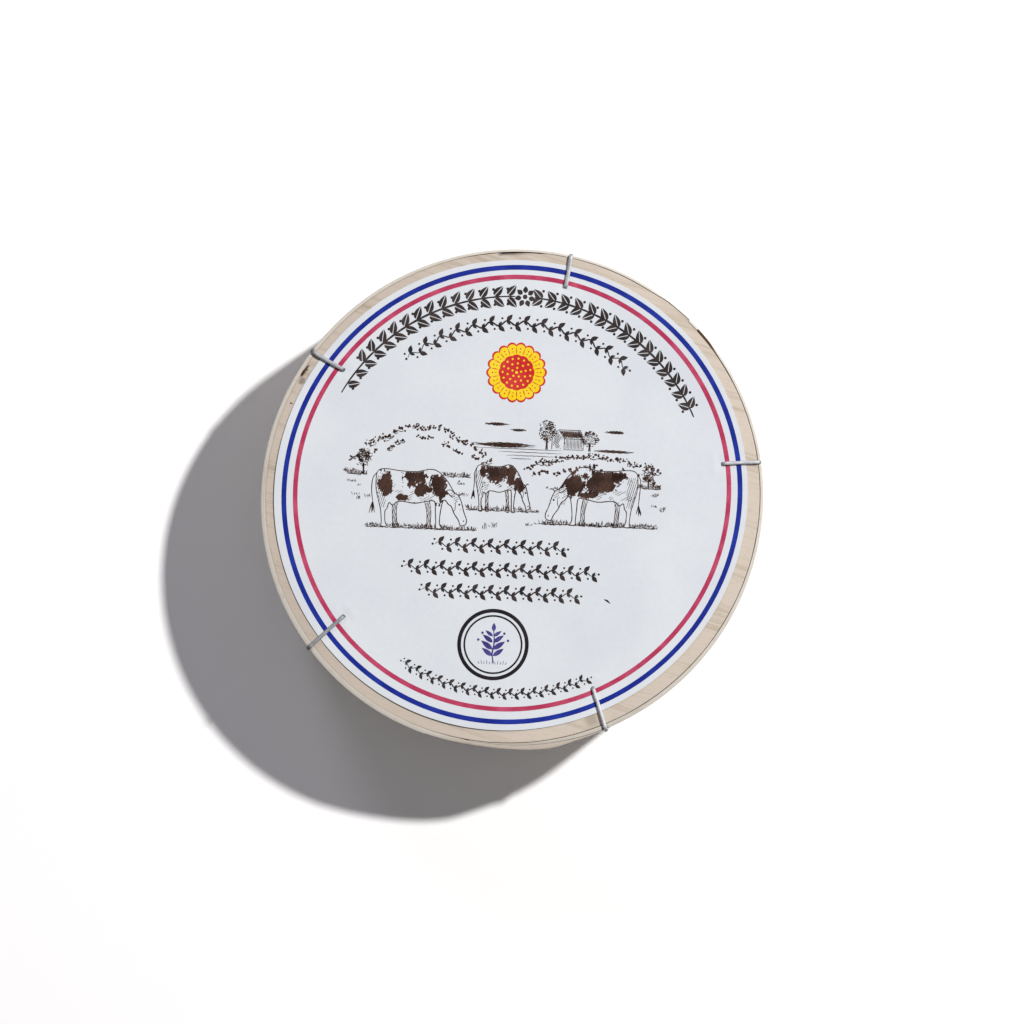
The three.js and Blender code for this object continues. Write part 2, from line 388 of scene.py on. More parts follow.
def strip_thickness(lap, along):
    start = mix(SKIVED, VENEER, clamp(along / lap["skive"]))
    end = mix(VENEER, SKIVED, clamp((along - 360 - lap["thins_from"]) / (lap["length"] - lap["thins_from"])))
    return min(start, end)


def strip_offset(lap, along):
    if along > 360:
        return strip_thickness(lap, along - 360) + LAP_GAP
    return (SKIVED + LAP_GAP) * clamp((along - 360 + LAP_RAMP) / LAP_RAMP)


def hoop_outside(lap, inside, angle):
    along = (angle - lap["start"]) % 360
    outer = along + 360 if along < lap["length"] else along
    return inside + oval(angle) + strip_offset(lap, outer) + strip_thickness(lap, outer)


def wire_bite(angle, below, staples, surface, leg_depth):
    """How deep the staples' outer legs have sunk into a hoop's outer face, that far from the stapled edge."""
    depth = 0.0
    for _, _, leg in staples:
        across = math.radians(angle_between(angle, leg)) * surface
        depth = max(depth, 0.42 - across * across * 0.9)
    return max(depth, 0.0) * smooth_step(leg_depth + 0.6, leg_depth, below)


def wire_crossing(angle, staples, surface):
    """1 where a staple's run crosses the stapled edge, and 0 away from it."""
    away = min(abs(math.radians(angle_between(angle, leg))) * surface for _, _, leg in staples)
    return smooth_step(0.95, 0.62, away)


# How the lid's hoop and disc meet, seen from above. The line between them is a little off the box's own
# centre, and the hoop's edge is narrower at the upper right. The lap's two layers bulge where the outer one
# starts. The tables give the width of the lap's inner layer and of both layers, at an angle.
LID_LAP_INNER = [(260, 0.12), (265, 0.26), (270, 0.45), (280, 0.7), (286, 0.88), (293, 0.97)]
LID_LAP_TOTAL = [
    (250, 1.03), (260, 0.95), (264, 1.02), (270, 1.35), (275, 1.72), (279, 1.87), (281.5, 1.72), (284.5, 1.4),
    (288, 1.22), (293, 1.12),
]


def along_table(table, angle):
    return float(np.interp(angle, *zip(*table)))


def lid_seam(angle):
    """Radius of the line between the lid's disc and its hoop."""
    turn = math.radians(angle)
    shifted = LID_INSIDE + 0.28 * math.cos(turn) + 0.29 * math.sin(turn)
    return shifted + 0.47 * math.cos(2 * (turn - math.radians(32)))


def lid_play(angle):
    """Width of the gap along that line: tight where the disc presses on the hoop, open elsewhere."""
    angle %= 360
    tight = max(between(angle, 69, 71, 81.5, 83), between(angle, 42, 42.4, 45.1, 45.6),
                between(angle, 95, 105, 240, 262))
    return mix(0.13, 0.02, tight) * (1 + 0.3 * ripple(angle * 0.15, 2.0))


def lid_faces(along):
    """Radii of the lid strip's inner and outer face, and how far its top edge is below the hoop's."""
    angle = along + LID_LAP["start"]
    around = angle - 360
    seam = lid_seam(angle)
    if along > 360:
        inner = along_table(LID_LAP_INNER, around) + 0.02
        return seam + inner, seam + max(along_table(LID_LAP_TOTAL, around), inner + 0.1), 0.1
    if along < LID_LAP["length"]:
        return seam, seam + along_table(LID_LAP_INNER, angle), 0.0
    if along > 360 - LAP_RAMP:
        share = (along - 360 + LAP_RAMP) / LAP_RAMP
        return seam + 0.14 * clamp(share * 4 - 3), seam + along_table(LID_LAP_TOTAL, around), 0.1 * share
    return seam, seam + 0.86 - 0.29 * math.cos(math.radians(angle - 59)), 0.0


def base_faces(along):
    start = BASE_INSIDE + oval(along + BASE_LAP["start"]) + strip_offset(BASE_LAP, along)
    return start, start + strip_thickness(BASE_LAP, along), 0.0


RIM_SLOPE = 0.13  # the hoops' upper edges are worn down a little towards the outside

TORN_DEPTH = 0.55  # from the hoop's upper edge down to the floor of its torn place
BEVEL = 0.29  # how far a rounding's middle point is from each face, as a share of the rounding


def crept(angle):
    """How far the lid's disc has crept out over its torn hoop."""
    return 0.8 * smooth_step(57.5, 45.3, angle) * smooth_step(45.0, 45.3, angle)


def lid_hoop_torn(angle):
    """How much of the hoop's width is torn away from inside. It is widest at 42 degrees."""
    angle %= 360
    torn = 0.62 * smooth_step(42.4, 42.2, angle) * mix(0.12, 1, smooth_step(33.5, 41.5, angle))
    return crept(angle) + torn * smooth_step(24, 34, angle) * (1 + 0.2 * ripple(angle * 1.9, 3.0))


def hoop(name, node, lap, faces_at, staples, stapled_top, material, torn_at=None):
    """A veneer strip wound once round, with softened edges, grooved by the staples' outer legs."""
    low, high = height_of(node, 0), height_of(node, 1)
    leg_depth = LEG_DEPTH if stapled_top else BASE_LEG_DEPTH
    legs = [(leg - lap["start"]) % 360 for _, _, leg in staples]
    legs += [leg + 360 for leg in legs if leg < lap["length"]]
    end = 360 + lap["length"]
    fine = [(leg - 2, leg + 2, 0.2) for leg in legs]
    fine.append((end - 1, end, 0.25))
    if torn_at:
        fine.append((360 + 41 - lap["start"], 360 + 46 - lap["start"], 0.12))
    depths = [0.25, TORN_DEPTH - 0.05, TORN_DEPTH + 0.05, 0.9, 1.5, 2.4, 3.6, 4.8, 5.6, 6.4, 7.6, 9.5]
    sections, grain, stain_and_shade = [], [], []
    for along in spread(0, end, 0.75, fine):
        angle = along + lap["start"]
        inner, outer, drop = faces_at(along)
        wave = 0.04 * ripple(*polar(1.6, angle), 3.0 if along > 360 else 1.0)
        inner, outer = inner + wave, outer + wave
        torn = torn_at(angle) if torn_at and along < 350 else 0.0
        torn = min(torn, outer - inner - 0.14)
        edge = high - 0.03 - drop + 0.03 * ripple(along * 0.23, 0.0, low)
        edge += 0.02 * ripple(along * 1.7, 4.0, low)
        foot = low if low < 1 else low + 0.05 + 0.05 * ripple(along * 0.19, 9.0, low)
        crossing = wire_crossing(angle, staples, outer)
        if stapled_top:
            edge -= 0.08 * crossing
        else:
            foot += 0.88 * crossing
        thick = outer - inner
        middle = mix(inner, outer, 0.5)
        soft = min(0.22, 0.3 * thick)
        soft_in = min(0.04, 0.2 * (thick - torn))
        heights = [edge - depth for depth in depths if edge - depth > foot + 0.6]
        if not stapled_top:
            heights += [9.4, 8.7, 8.0, 6.0, 4.0, 2.4, 1.6]
        heights.append(foot + 0.4)
        rim = inner + torn
        shoulder = edge - RIM_SLOPE * (outer - rim)
        loop = [(outer - soft, foot), (outer - BEVEL * soft, foot + BEVEL * soft)]
        for place, z in enumerate(reversed(heights)):
            loop.append((outer, min(z, shoulder - soft - 0.02 * (len(heights) - place))))
        loop += [(outer, shoulder - soft), (outer - BEVEL * soft, shoulder - BEVEL * soft)]
        loop += [(outer - soft, shoulder), (mix(rim, outer, 0.5), mix(edge, shoulder, 0.4))]
        loop += [(rim + soft_in, edge), (rim, edge - soft_in)]
        loop += [(inner + (torn if edge - z < TORN_DEPTH else 0.0), z) for z in heights]
        loop += [(inner, foot + 0.1), (inner + min(0.1, 0.3 * thick), foot), (middle, foot)]
        # Painted shade: the torn place's wall and floor are turned brown, as the rim would shade them.
        brown = 0.85 * smooth_step(0.1, 0.3, torn) * smooth_step(44, 42.4, angle % 360)
        section = []
        for radius, z in loop:
            if radius > mix(inner, outer, 0.6):
                below = high - z if stapled_top else z - low
                radius -= wire_bite(angle, below, staples, radius, leg_depth)
            section.append((*polar(radius, angle), z))
            grain.append((along * LID_INSIDE * math.pi / 180, z, radius - inner))
            # The torn wall gets that painted brown shade, and the lap's outer layer, whose edge stands lower,
            # gets a lighter painted shade.
            wall = radius < rim + 0.02 and edge - z < TORN_DEPTH + 0.2
            stain_and_shade.append(brown if wall else 0.22 * smooth_step(0.02, 0.09, drop))
        sections.append(section)
    add_piece(name, loft(sections), material, "poplar_veneer", [node], grain, stain_and_shade)


# ---- discs ----

def disc(name, node, edge_at, material, grain_angle, stain_and_shade_at, dip_at, fine):
    """A veneer disc. edge_at gives its radius at an angle, the next argument darkens its upper face at an
    angle and radius with marks and painted shade, and dip_at lowers that face."""
    low, high = height_of(node, 0), height_of(node, 1)
    angles = spread(0, 360, 0.75, fine)[:-1]
    soft = 0.04
    insets = [soft, 0.3, 0.5, 0.75, 1.0, 1.3, 1.6, 1.9, 2.2, 2.6, 3.2, 4, 6, 9, 14, 20, 28, 38, 48]
    edges = [edge_at(angle) for angle in angles]

    def face(angle, radius):
        along, across = turned(*polar(radius, angle), -grain_angle)
        return high - 0.02 + 0.015 * ripple(along * 0.05, across * 1.5, 2.0) - dip_at(angle, radius)

    upper = [(inset, face) for inset in reversed(insets)]
    upper += [(0.012, lambda angle, radius: face(angle, radius) - 0.015)]
    upper += [(0, lambda angle, radius: high - soft - 0.02)]
    lower = [(0, lambda *_: low + soft)] + [(inset, lambda *_: low) for inset in insets]
    rows, stain_and_shade = [], [0.0]
    for inset, height_at in upper + lower:
        places = [(edge - inset, angle) for edge, angle in zip(edges, angles)]
        rows.append([(*polar(radius, angle), height_at(angle, radius)) for radius, angle in places])
        on_top = len(rows) <= len(upper)
        stain_and_shade += [stain_and_shade_at(angle, radius) if on_top else 0.0 for radius, angle in places]
    stain_and_shade.append(0.0)
    verts, faces = revolve([(0, 0, high - 0.02), *rows, (0, 0, low)])
    grain = [(*turned(x, y, -grain_angle), z) for x, y, z in verts]
    add_piece(name, (verts, faces), material, "poplar_veneer", [node], grain, stain_and_shade, sharp=50)


def lid_edge(angle):
    """The lid disc's radius. It crept out from 57 to 45 degrees, and a chip is out from 92.5 to 82."""
    angle %= 360
    ragged = 0.75 + 0.6 * ripple(angle * 2.7, 5.0)
    chip = 0.3 * ragged * smooth_step(92.6, 92.1, angle) * mix(0.3, 1, smooth_step(84.5, 91, angle))
    chip *= smooth_step(81.5, 84, angle)
    edge = lid_seam(angle) - lid_play(angle) + 0.04 * ripple(*polar(1.6, angle), 1.0)
    return edge + crept(angle) - chip


def spot(angle, radius, at_angle, at_radius, long, wide, turn=0.0):
    """1 inside a mark of that length and width round a place on the disc, with a ragged soft edge."""
    along = math.radians(angle_between(angle, at_angle)) * at_radius
    out = radius - at_radius
    along, out = turned(along, out, turn)
    ragged = 0.5 * ripple(along * 2.1, out * 2.7, at_angle)
    return smooth_step(1.15, 0.75, math.hypot(along / long, out / wide) + ragged)


# Marks on the lid's disc, as angle, radius, length, width and turn.
KNOT = (148.3, 55.65, 1.6, 0.36, -3)
KNOT_HALO = (150.7, 55.0, 0.9, 0.8)
NICK = (156.6, 55.0, 0.22, 0.42)
CRACK = (171.3, 56.35, 0.18, 0.3, 30)


def lid_stain_and_shade(angle, radius):
    """How dark the disc's face is: its marks, a dark band along the chip, its rim, a staple wire's painted
    shadow, and patches that are partly the veneer's tone and partly painted shade.
    """
    seam = lid_seam(angle)
    knot, halo = spot(angle, radius, *KNOT), 0.45 * spot(angle, radius, *KNOT_HALO)
    nick, crack = 0.95 * spot(angle, radius, *NICK), 0.5 * spot(angle, radius, *CRACK)
    chip = 0.6 * between(angle, 84, 90, 92.6, 93.4) * smooth_step(seam - 0.9, seam - 0.5, radius)
    # Painted shadow of the fourth staple's wire: a dark wedge on the wood from the rim to the label's edge.
    corner = 0.3 * between(angle, 287.5, 289.5, 290.6, 291.8) * smooth_step(56.4, 54, radius)
    rim = 0.04 * smooth_step(seam - 0.6, seam - 0.1, radius)
    # Partly painted shade: darker on the side away from the lamp, with patches that are partly the veneer's
    # own uneven tone.
    tone_and_shade = 0.1 - 0.085 * math.cos(math.radians(angle - 20)) + 0.06 * bump(angle, 110, 55)
    tone_and_shade += 0.05 * bump(angle, 211, 25) - 0.06 * bump(angle, 272, 28)
    return clamp(max(knot, halo, nick, crack, chip, corner) + rim + tone_and_shade)


def lid_dip(angle, radius):
    return 0.12 * spot(angle, radius, *KNOT) + 0.15 * spot(angle, radius, *NICK)


# ---- staples ----

def bend_round(corners):
    """A line with its corners rounded."""
    points = [corners[0]]
    steps = 6
    for before, corner, after in zip(corners, corners[1:], corners[2:]):
        start, end = (corner + (other - corner).normalized() * min(WIRE_BEND, (other - corner).length / 2)
                      for other in (before, after))
        for i in range(steps + 1):
            t = i / steps
            points.append(start * (1 - t) ** 2 + corner * 2 * t * (1 - t) + end * t * t)
    points.append(corners[-1])
    return points


def resample(points, step):
    """Points no further apart than a step, keeping every given point but the ones that repeat."""
    result = [points[0]]
    for a, b in zip(points, points[1:]):
        if (b - a).length < 0.01:
            continue
        parts = max(1, math.ceil((b - a).length / step))
        result += [a.lerp(b, i / parts) for i in range(1, parts + 1)]
    return result


def staple_corners(staple, lap, inside, over, under, pierce):
    inner_angle, inner_radius, outer_angle = staple
    inner = Vector((*polar(inner_radius, inner_angle), 0))
    half = WIRE_THICKNESS / 2
    outer = Vector((*polar(hoop_outside(lap, inside, outer_angle) + LEG_PROUD - half, outer_angle), 0))
    within = Vector((*polar(inside + oval(outer_angle) - half - 2 * WIRE_REST, outer_angle), 0))
    back = (inner - outer).normalized() * CLINCH
    up = Vector((0, 0, 1))
    return [
        inner + back + up * under,
        inner + up * under,
        inner + up * over,
        outer + up * over,
        outer + up * pierce,
        within + up * pierce,
        within + up * (pierce + CLINCH),
    ]


def staple_wire(name, node, corners, seed, roll=0.0, width=WIRE_WIDTH, painted_shade=0.0):
    """A flattened wire, slightly bowed and rolled a few degrees about its run, with chisel-cut ends. Its
    colour is darkened by painted shade set for each wire, and darker at its bends."""
    sides = 16
    path = resample(bend_round(corners), 0.35)
    run_direction = (corners[3] - corners[2]).normalized()
    sideways = run_direction.cross(Vector((0, 0, 1)))
    run_length = (corners[3] - corners[2]).length
    rng = random.Random(seed)
    bow = rng.uniform(-0.12, 0.12)
    flats = [(rng.uniform(0.1, 0.9), rng.uniform(0.03, 0.08)) for _ in range(3)]
    travelled = 0.0
    sections, grain, stain_and_shade = [], [], []
    for i, point in enumerate(path):
        ahead = path[min(i + 1, len(path) - 1)]
        behind = path[max(i - 1, 0)]
        travelled += (point - behind).length
        tangent = (ahead - behind).normalized()
        normal = sideways.cross(tangent).normalized()
        share = (point - corners[2]).dot(run_direction) / run_length
        on_top = abs(point.z - corners[2].z) < 0.2 and 0 < share < 1
        lean = math.sin(math.pi * share) if on_top else 0.0
        centre = point + sideways * (bow * lean)
        pressed = sum(depth * bump(share, place, 0.12) for place, depth in flats) if on_top else 0.0
        tip = (0.45, 0.8, 1.0)[min(i, len(path) - 1 - i, 2)]
        at_bend = max(bump(share, 1.0, 0.1), 0.8 * bump(share, 0.0, 0.09))
        # Painted shade set for each wire, plus darker bends.
        stain_and_shade += [clamp(painted_shade + 0.5 * at_bend)] * sides
        wobble = 1 + 0.03 * ripple(travelled * 0.9, seed)
        section = []
        for k in range(sides):
            turn = 2 * math.pi * k / sides
            c, s = math.cos(turn), math.sin(turn)
            wide = math.copysign(abs(c) ** 0.7, c) * width / 2 * wobble * (1 + pressed) * 0.98
            tall = math.copysign(abs(s) ** 0.55, s) * WIRE_THICKNESS / 2 * (1 - pressed) * tip * 0.94
            wide, tall = turned(wide, tall, roll * min(1.0, 3 * lean))
            section.append(tuple(centre + sideways * wide + normal * tall))
            grain.append((travelled, turn * WIRE_THICKNESS / 2, seed * 3.0))
        sections.append(section)
    add_piece(name, loft(sections), galvanised, "galvanised_wire", [node], grain, stain_and_shade)


# ---- label ----

label_base = disc_top + 0.005
leg_places = [polar(radius, angle) for angle, radius, _ in LID_STAPLES]
run_ends = [polar(LID_INSIDE, outer_angle) for _, _, outer_angle in LID_STAPLES]


def distance_to_run(x, y, start, end):
    dx, dy = end[0] - start[0], end[1] - start[1]
    t = clamp(((x - start[0]) * dx + (y - start[1]) * dy) / (dx * dx + dy * dy))
    return math.hypot(x - start[0] - t * dx, y - start[1] - t * dy)


def label_lift(x, y):
    """How far the label's paper stands off the lid: curled up between the staples, cockled, and pressed down
    under each wire with a pucker where its leg goes through."""
    ox, oy = x - LABEL_CENTRE[0], y - LABEL_CENTRE[1]
    radius = math.hypot(ox, oy)
    angle = math.degrees(math.atan2(oy, ox))
    loose = 0.5 - 0.5 * math.cos(5 * math.radians(angle - 4))
    curl = smooth_step(45, 54, radius) * (0.05 + 0.16 * loose) * (1 + 0.5 * ripple(*polar(1.3, angle), 6.0))
    cockle = 0.05 + 0.05 * ripple(x, y, 1.0, 0.035) + 0.018 * ripple(x, y, 5.0, 0.12)
    lift = max(cockle + curl, 0.0)
    for leg, run_end in zip(leg_places, run_ends):
        away = math.hypot(x - leg[0], y - leg[1])
        if away < 9:
            under_wire = math.exp(-((distance_to_run(x, y, leg, run_end) / 1.1) ** 2))
            lift *= 1 - under_wire
            lift -= 0.02 * math.exp(-((away / 0.8) ** 2))
            spokes = 0.6 + 0.4 * math.cos(5 * math.atan2(y - leg[1], x - leg[0]))
            ring = math.exp(-(((away - 2.1) / 0.8) ** 2)) * (1 - under_wire) * spokes
            lift += 0.07 * ring
    return max(lift, 0.0)


def label_surface(x, y):
    return label_base + LABEL_THICKNESS + label_lift(x, y)


def make_label():
    """The label's sheet, a little oval towards its edge."""
    insets = [0.02, 0.05, 0.2] + [0.5 * k for k in range(1, 32)] + [18, 21, 24, 27, 31, 35, 39, 43, 47, 51]
    levels = [(inset, 0.0) for inset in reversed(insets)] + [(0, 0.02), (0, LABEL_THICKNESS - 0.01)]
    levels += [(inset, LABEL_THICKNESS) for inset in insets]
    rows = []
    for inset, depth in levels:
        row = []
        for angle in spread(0, 360, 1.0)[:-1]:
            edge = LABEL_RADIUS + 0.55 * math.cos(2 * math.radians(angle - 35)) * clamp((54 - inset) / 10)
            (x, y), = put([polar(edge - inset + 0.03 * ripple(angle * 0.4, 7.0), angle)], LABEL_CENTRE)
            row.append((x, y, label_surface(x, y) - depth))
        rows.append(row)
    top = label_surface(*LABEL_CENTRE)
    sheet = revolve([(*LABEL_CENTRE, top), *rows, (*LABEL_CENTRE, top - LABEL_THICKNESS)])
    add_piece("label_sheet", sheet, label_paper, "label_paper", ["label"], sharp=50)


# ---- the print on the label ----

INK_BOTTOM = 0.012  # underside of an ink film above the paper
INK_FILM = 0.02
INK_STEP = 0.024  # from one film up to the next that is printed over it


class Ink:
    """Films of one colour of ink. Outlines are in millimetres from the label's printed centre."""

    def __init__(self, seed=0):
        self.verts, self.faces = [], []
        self.rng = random.Random(seed)
        self.level = 0

    def _layers(self, points):
        first = len(self.verts)
        bottom = INK_BOTTOM + self.level * INK_STEP
        for depth in (bottom + INK_FILM, bottom):
            for x, y in points:
                px, py = x + PRINT_CENTRE[0], y + PRINT_CENTRE[1]
                self.verts.append((px, py, label_surface(px, py) + depth))
        return first, len(points)

    def _wall(self, a, b, count):
        """A face down a film's edge from its upper points a and b to those count places on, below them."""
        self.faces.append((a, b, count + b, count + a))

    def area(self, outline):
        """Fills a closed outline."""
        first, count = self._layers(outline)
        for a, b, c in tessellate_polygon([[Vector((x, y, 0)) for x, y in outline]]):
            self.faces.append((first + a, first + b, first + c))
            self.faces.append((first + count + c, first + count + b, first + count + a))
        for i in range(count):
            self._wall(first + i, first + (i + 1) % count, count)

    def band(self, left, right, closed=False):
        """Fills between two lines with the same number of points."""
        n = len(left)
        first, count = self._layers([*left, *right])
        last = n if closed else n - 1
        for i in range(last):
            j = (i + 1) % n
            top = (first + i, first + j, first + n + j, first + n + i)
            self.faces.append(top)
            self.faces.append(tuple(v + count for v in reversed(top)))
            self._wall(first + i, first + j, count)
            self._wall(first + n + i, first + n + j, count)
        if not closed:
            self._wall(first, first + n, count)
            self._wall(first + n - 1, first + n + n - 1, count)

    def stroke(self, points, width, taper=0.25):
        """A pen line. taper is the share of the width left at its two ends."""
        last = len(points) - 1
        if last < 1:
            return
        left, right = [], []
        for i, (x, y) in enumerate(points):
            ax, ay = points[max(i - 1, 0)]
            bx, by = points[min(i + 1, last)]
            length = math.hypot(bx - ax, by - ay) or 1.0
            share = mix(taper, 1.0, max(0.0, math.sin(math.pi * i / last)) ** 0.6)
            half = width / 2 * share * self.rng.uniform(0.85, 1.15)
            nx, ny = -(by - ay) / length * half, (bx - ax) / length * half
            left.append((x + nx, y + ny))
            right.append((x - nx, y - ny))
        self.band(left, right)

    def dot(self, x, y, radius, sides=10):
        turns = [2 * math.pi * i / sides for i in range(sides)]
        self.area([(x + radius * math.cos(turn), y + radius * math.sin(turn)) for turn in turns])

    def ring(self, centre, radius, width, stretch=0.0):
        """A printed circle, stretched like the box itself, with very slightly uneven edges."""
        sides = max(48, int(radius * 12))
        edges = []
        for side in (1, -1):
            line = []
            for i in range(sides):
                angle = 360 * i / sides
                r = radius + side * width / 2 + 0.02 * ripple(*polar(radius * 1.5, angle), side * 9.0)
                r += stretch * math.cos(2 * math.radians(angle - OVAL_ANGLE))
                line.append(polar(r, angle))
            edges.append(put(line, centre))
        self.band(*edges, closed=True)

    def leaf(self, x, y, length, width, angle, vein=0.0):
        """A pointed leaf growing from a point at an angle. A vein is a bare line along its middle."""
        steps = 7
        edge = []
        for i in range(steps + 1):
            share = i / steps
            edge.append((length * share, width / 2 * math.sin(math.pi * share ** 0.8)))
        halves = [[*edge, *[(u, -v) for u, v in edge[-2:0:-1]]]]
        if vein:
            half = [(u, max(v, 0.0) + vein / 2) for u, v in edge]
            half[0] = (0.25, vein / 2)
            halves = [half, [(u, -v) for u, v in reversed(half)]]
        for outline in halves:
            self.area(put(outline, (x, y), turn=angle))

    def finish(self, name, material, slot):
        add_piece(name, (self.verts, self.faces), material, slot)


PRINT_CENTRE = (-0.05, 1.0)
PRINT_TURN = -2.5  # the whole print sits slightly clockwise of the box's axes


def curve(points, closed=False, steps=5):
    """A smooth line through given points."""
    n = len(points)
    result = []
    for i in range(n if closed else n - 1):
        p = [points[(i + k) % n] if closed else points[clamp(i + k, 0, n - 1)] for k in (-1, 0, 1, 2)]
        for s in range(steps):
            t = s / steps
            result.append(tuple(
                0.5 * (2 * p[1][a] + (p[2][a] - p[0][a]) * t
                       + (2 * p[0][a] - 5 * p[1][a] + 4 * p[2][a] - p[3][a]) * t * t
                       + (3 * p[1][a] - p[0][a] - 3 * p[2][a] + p[3][a]) * t ** 3)
                for a in (0, 1)))
    if not closed:
        result.append(points[-1])
    return result


def put(points, origin=(0, 0), size=1.0, flip=False, turn=0.0):
    """Points of a small drawing, mirrored, sized, turned and moved to where they go."""
    across = -size if flip else size
    placed = [turned(x * across, y * size, turn) for x, y in points]
    return [(origin[0] + dx, origin[1] + dy) for dx, dy in placed]


def arc_line(radius, start, end):
    count = max(2, int(abs(end - start) / 1.5))
    return [polar(radius, mix(start, end, i / count)) for i in range(count + 1)]


def inside(outline, x, y):
    """Whether a point is inside a closed outline."""
    hit = False
    for (ax, ay), (bx, by) in zip(outline, outline[1:] + outline[:1]):
        if (ay > y) != (by > y) and x < (bx - ax) * (y - ay) / (by - ay) + ax:
            hit = not hit
    return hit


def on_arc(radius, start):
    """A placer of points that are given along and across an arc. It starts at an angle and runs clockwise."""
    return lambda points: [polar(radius + v, start - math.degrees(u / radius)) for u, v in points]


def on_line(centre):
    """A placer of points that are given along and across the print's level direction."""
    return lambda points: put(points, centre, turn=PRINT_TURN)


def near_staple(x, y, reach):
    return any(math.dist((x + PRINT_CENTRE[0], y + PRINT_CENTRE[1]), leg) < reach for leg in leg_places)


def draw_garland(ink):
    """A leafy garland with berries along the top of the label, growing from both ends to a flower."""
    low, high, middle, radius = 24.5, 147.5, 86, 45.3
    sprigs = 15
    for end in (low, high):
        onward = 1 if end == low else -1
        ink.stroke(arc_line(radius, end - 1.5 * onward, mix(end, middle, 0.955)), 0.5, 0.5)
        for i in range(sprigs):
            angle = mix(end, middle, (i + 0.3) / (sprigs + 0.6))
            heading = angle + 90 * onward
            length = 3.35 - 0.6 * abs(i / sprigs - 0.5)
            for side in (1, -1):
                x, y = polar(radius + 0.2 * side, angle)
                if near_staple(*polar(radius + 1.2 * side, angle + 1.5 * onward), 2.4):
                    continue
                ink.leaf(x, y, length, 1.62, heading + side * 45 + ink.rng.uniform(-4, 4), 0.16)
                ink.dot(*polar(radius + 1.75 * side, angle + 0.1 * onward), 0.32)
    x, y = polar(radius, middle)
    ink.dot(x, y, 0.55)
    for i in range(7):
        dx, dy = polar(0.85, middle + 360 * i / 7)
        ink.leaf(x + dx, y + dy, 1.6, 1.15, middle + 360 * i / 7)


def draw_scroll(ink, place, length, size):
    """A running vine: a waving stem with two leaves on the outside of each bend, and berries."""
    count = max(1, round(length / (3.5 * size)))
    wave = length / count
    steps = 12
    bend = 0.5 * size
    stem = [(wave * i / steps, bend * math.sin(2 * math.pi * i / steps)) for i in range(count * steps + 1)]
    ink.stroke(place(stem), 0.36 * size, 0.3)
    for i in range(2 * count):
        side = 1 if i % 2 == 0 else -1
        x = wave * (i + 0.5) / 2
        (ax, ay), (bx, by) = place([(x - 0.1, side * bend), (x + 0.3, side * bend)])
        heading = math.degrees(math.atan2(by - ay, bx - ax))
        ink.leaf(ax, ay, 1.75 * size, 0.95 * size, heading + side * 46)
        ink.leaf(ax + 0.02, ay, 1.15 * size, 0.6 * size, heading - side * 52)
        ink.dot(*place([(x - 0.28 * wave, side * 1.05 * size)])[0], 0.24 * size, 8)
    for end in (-0.5, length + 0.5):
        ink.dot(*place([(end, 0)])[0], 0.26 * size, 8)


def scalloped(centre, radius, petals, depth):
    """A round outline with that many lobes."""
    outline = []
    for i in range(petals * 12):
        lobe = abs(math.cos(math.pi * (i / 12))) ** 0.7
        outline.append(polar(radius * (1 - depth * (1 - lobe)), 30 * i / petals))
    return put(outline, centre)


def draw_flower(red, yellow, centre):
    """A plain round yellow flower with a red heart. Each film lies over the one before."""
    def at(radius, angle):
        return put([polar(radius, angle)], centre)[0]

    petals = 18
    red.area(scalloped(centre, 6.95, petals, 0.1))
    yellow.level = 1
    yellow.area(scalloped(centre, 6.5, petals, 0.1))
    red.level = 2
    red.area(scalloped(centre, 4.1, 12, 0.06))
    for i in range(petals):
        angle = 360 * (i + 0.5) / petals
        red.stroke([at(radius, angle) for radius in (4.3, 4.9, 5.7)], 0.2, 0.4)
        red.dot(*at(4.75, angle + 180 / petals), 0.14, 8)
        red.dot(*at(5.5, angle + 180 / petals), 0.17, 8)
    yellow.level = 3
    for radius, count in ((3.2, 15), (2.1, 10), (1.05, 5)):
        for i in range(count):
            yellow.dot(*at(radius, 360 * i / count + 10), 0.25, 8)
    yellow.dot(*centre, 0.34)


def draw_sprig(ink, centre):
    """A leafy sprig on a little ground, inside the double ring."""
    def at(points):
        return put(points, centre, turn=PRINT_TURN)

    ink.stroke(at(curve([(0.3, -4.3), (-0.1, -2.2), (0.25, 0.4), (0.05, 3.2)])), 0.34, 0.5)
    for y, reach in ((-2.6, 3.0), (-1.1, 3.3), (0.5, 2.9), (1.9, 2.2)):
        for side in (1, -1):
            ink.leaf(*at([(0.08 * side, y)])[0], reach, 0.36 * reach, PRINT_TURN + 90 - side * 54)
    ink.leaf(*at([(0.05, 3.0)])[0], 2.0, 0.95, PRINT_TURN + 90)
    for side in (1, -1):
        for x, y in ((2.5, 2.6), (3.4, 1.0)):
            ink.dot(*at([(side * x, y)])[0], 0.3, 8)
    for i in range(11):
        x = -3.0 + 0.6 * i
        ink.stroke(at([(x, -4.5), (x + 0.05 * (i - 5), -3.95 + 0.3 * (i % 2))]), 0.22, 0.5)


# The picture is drawn in its own millimetres, level, and turned onto the label as it is inked.

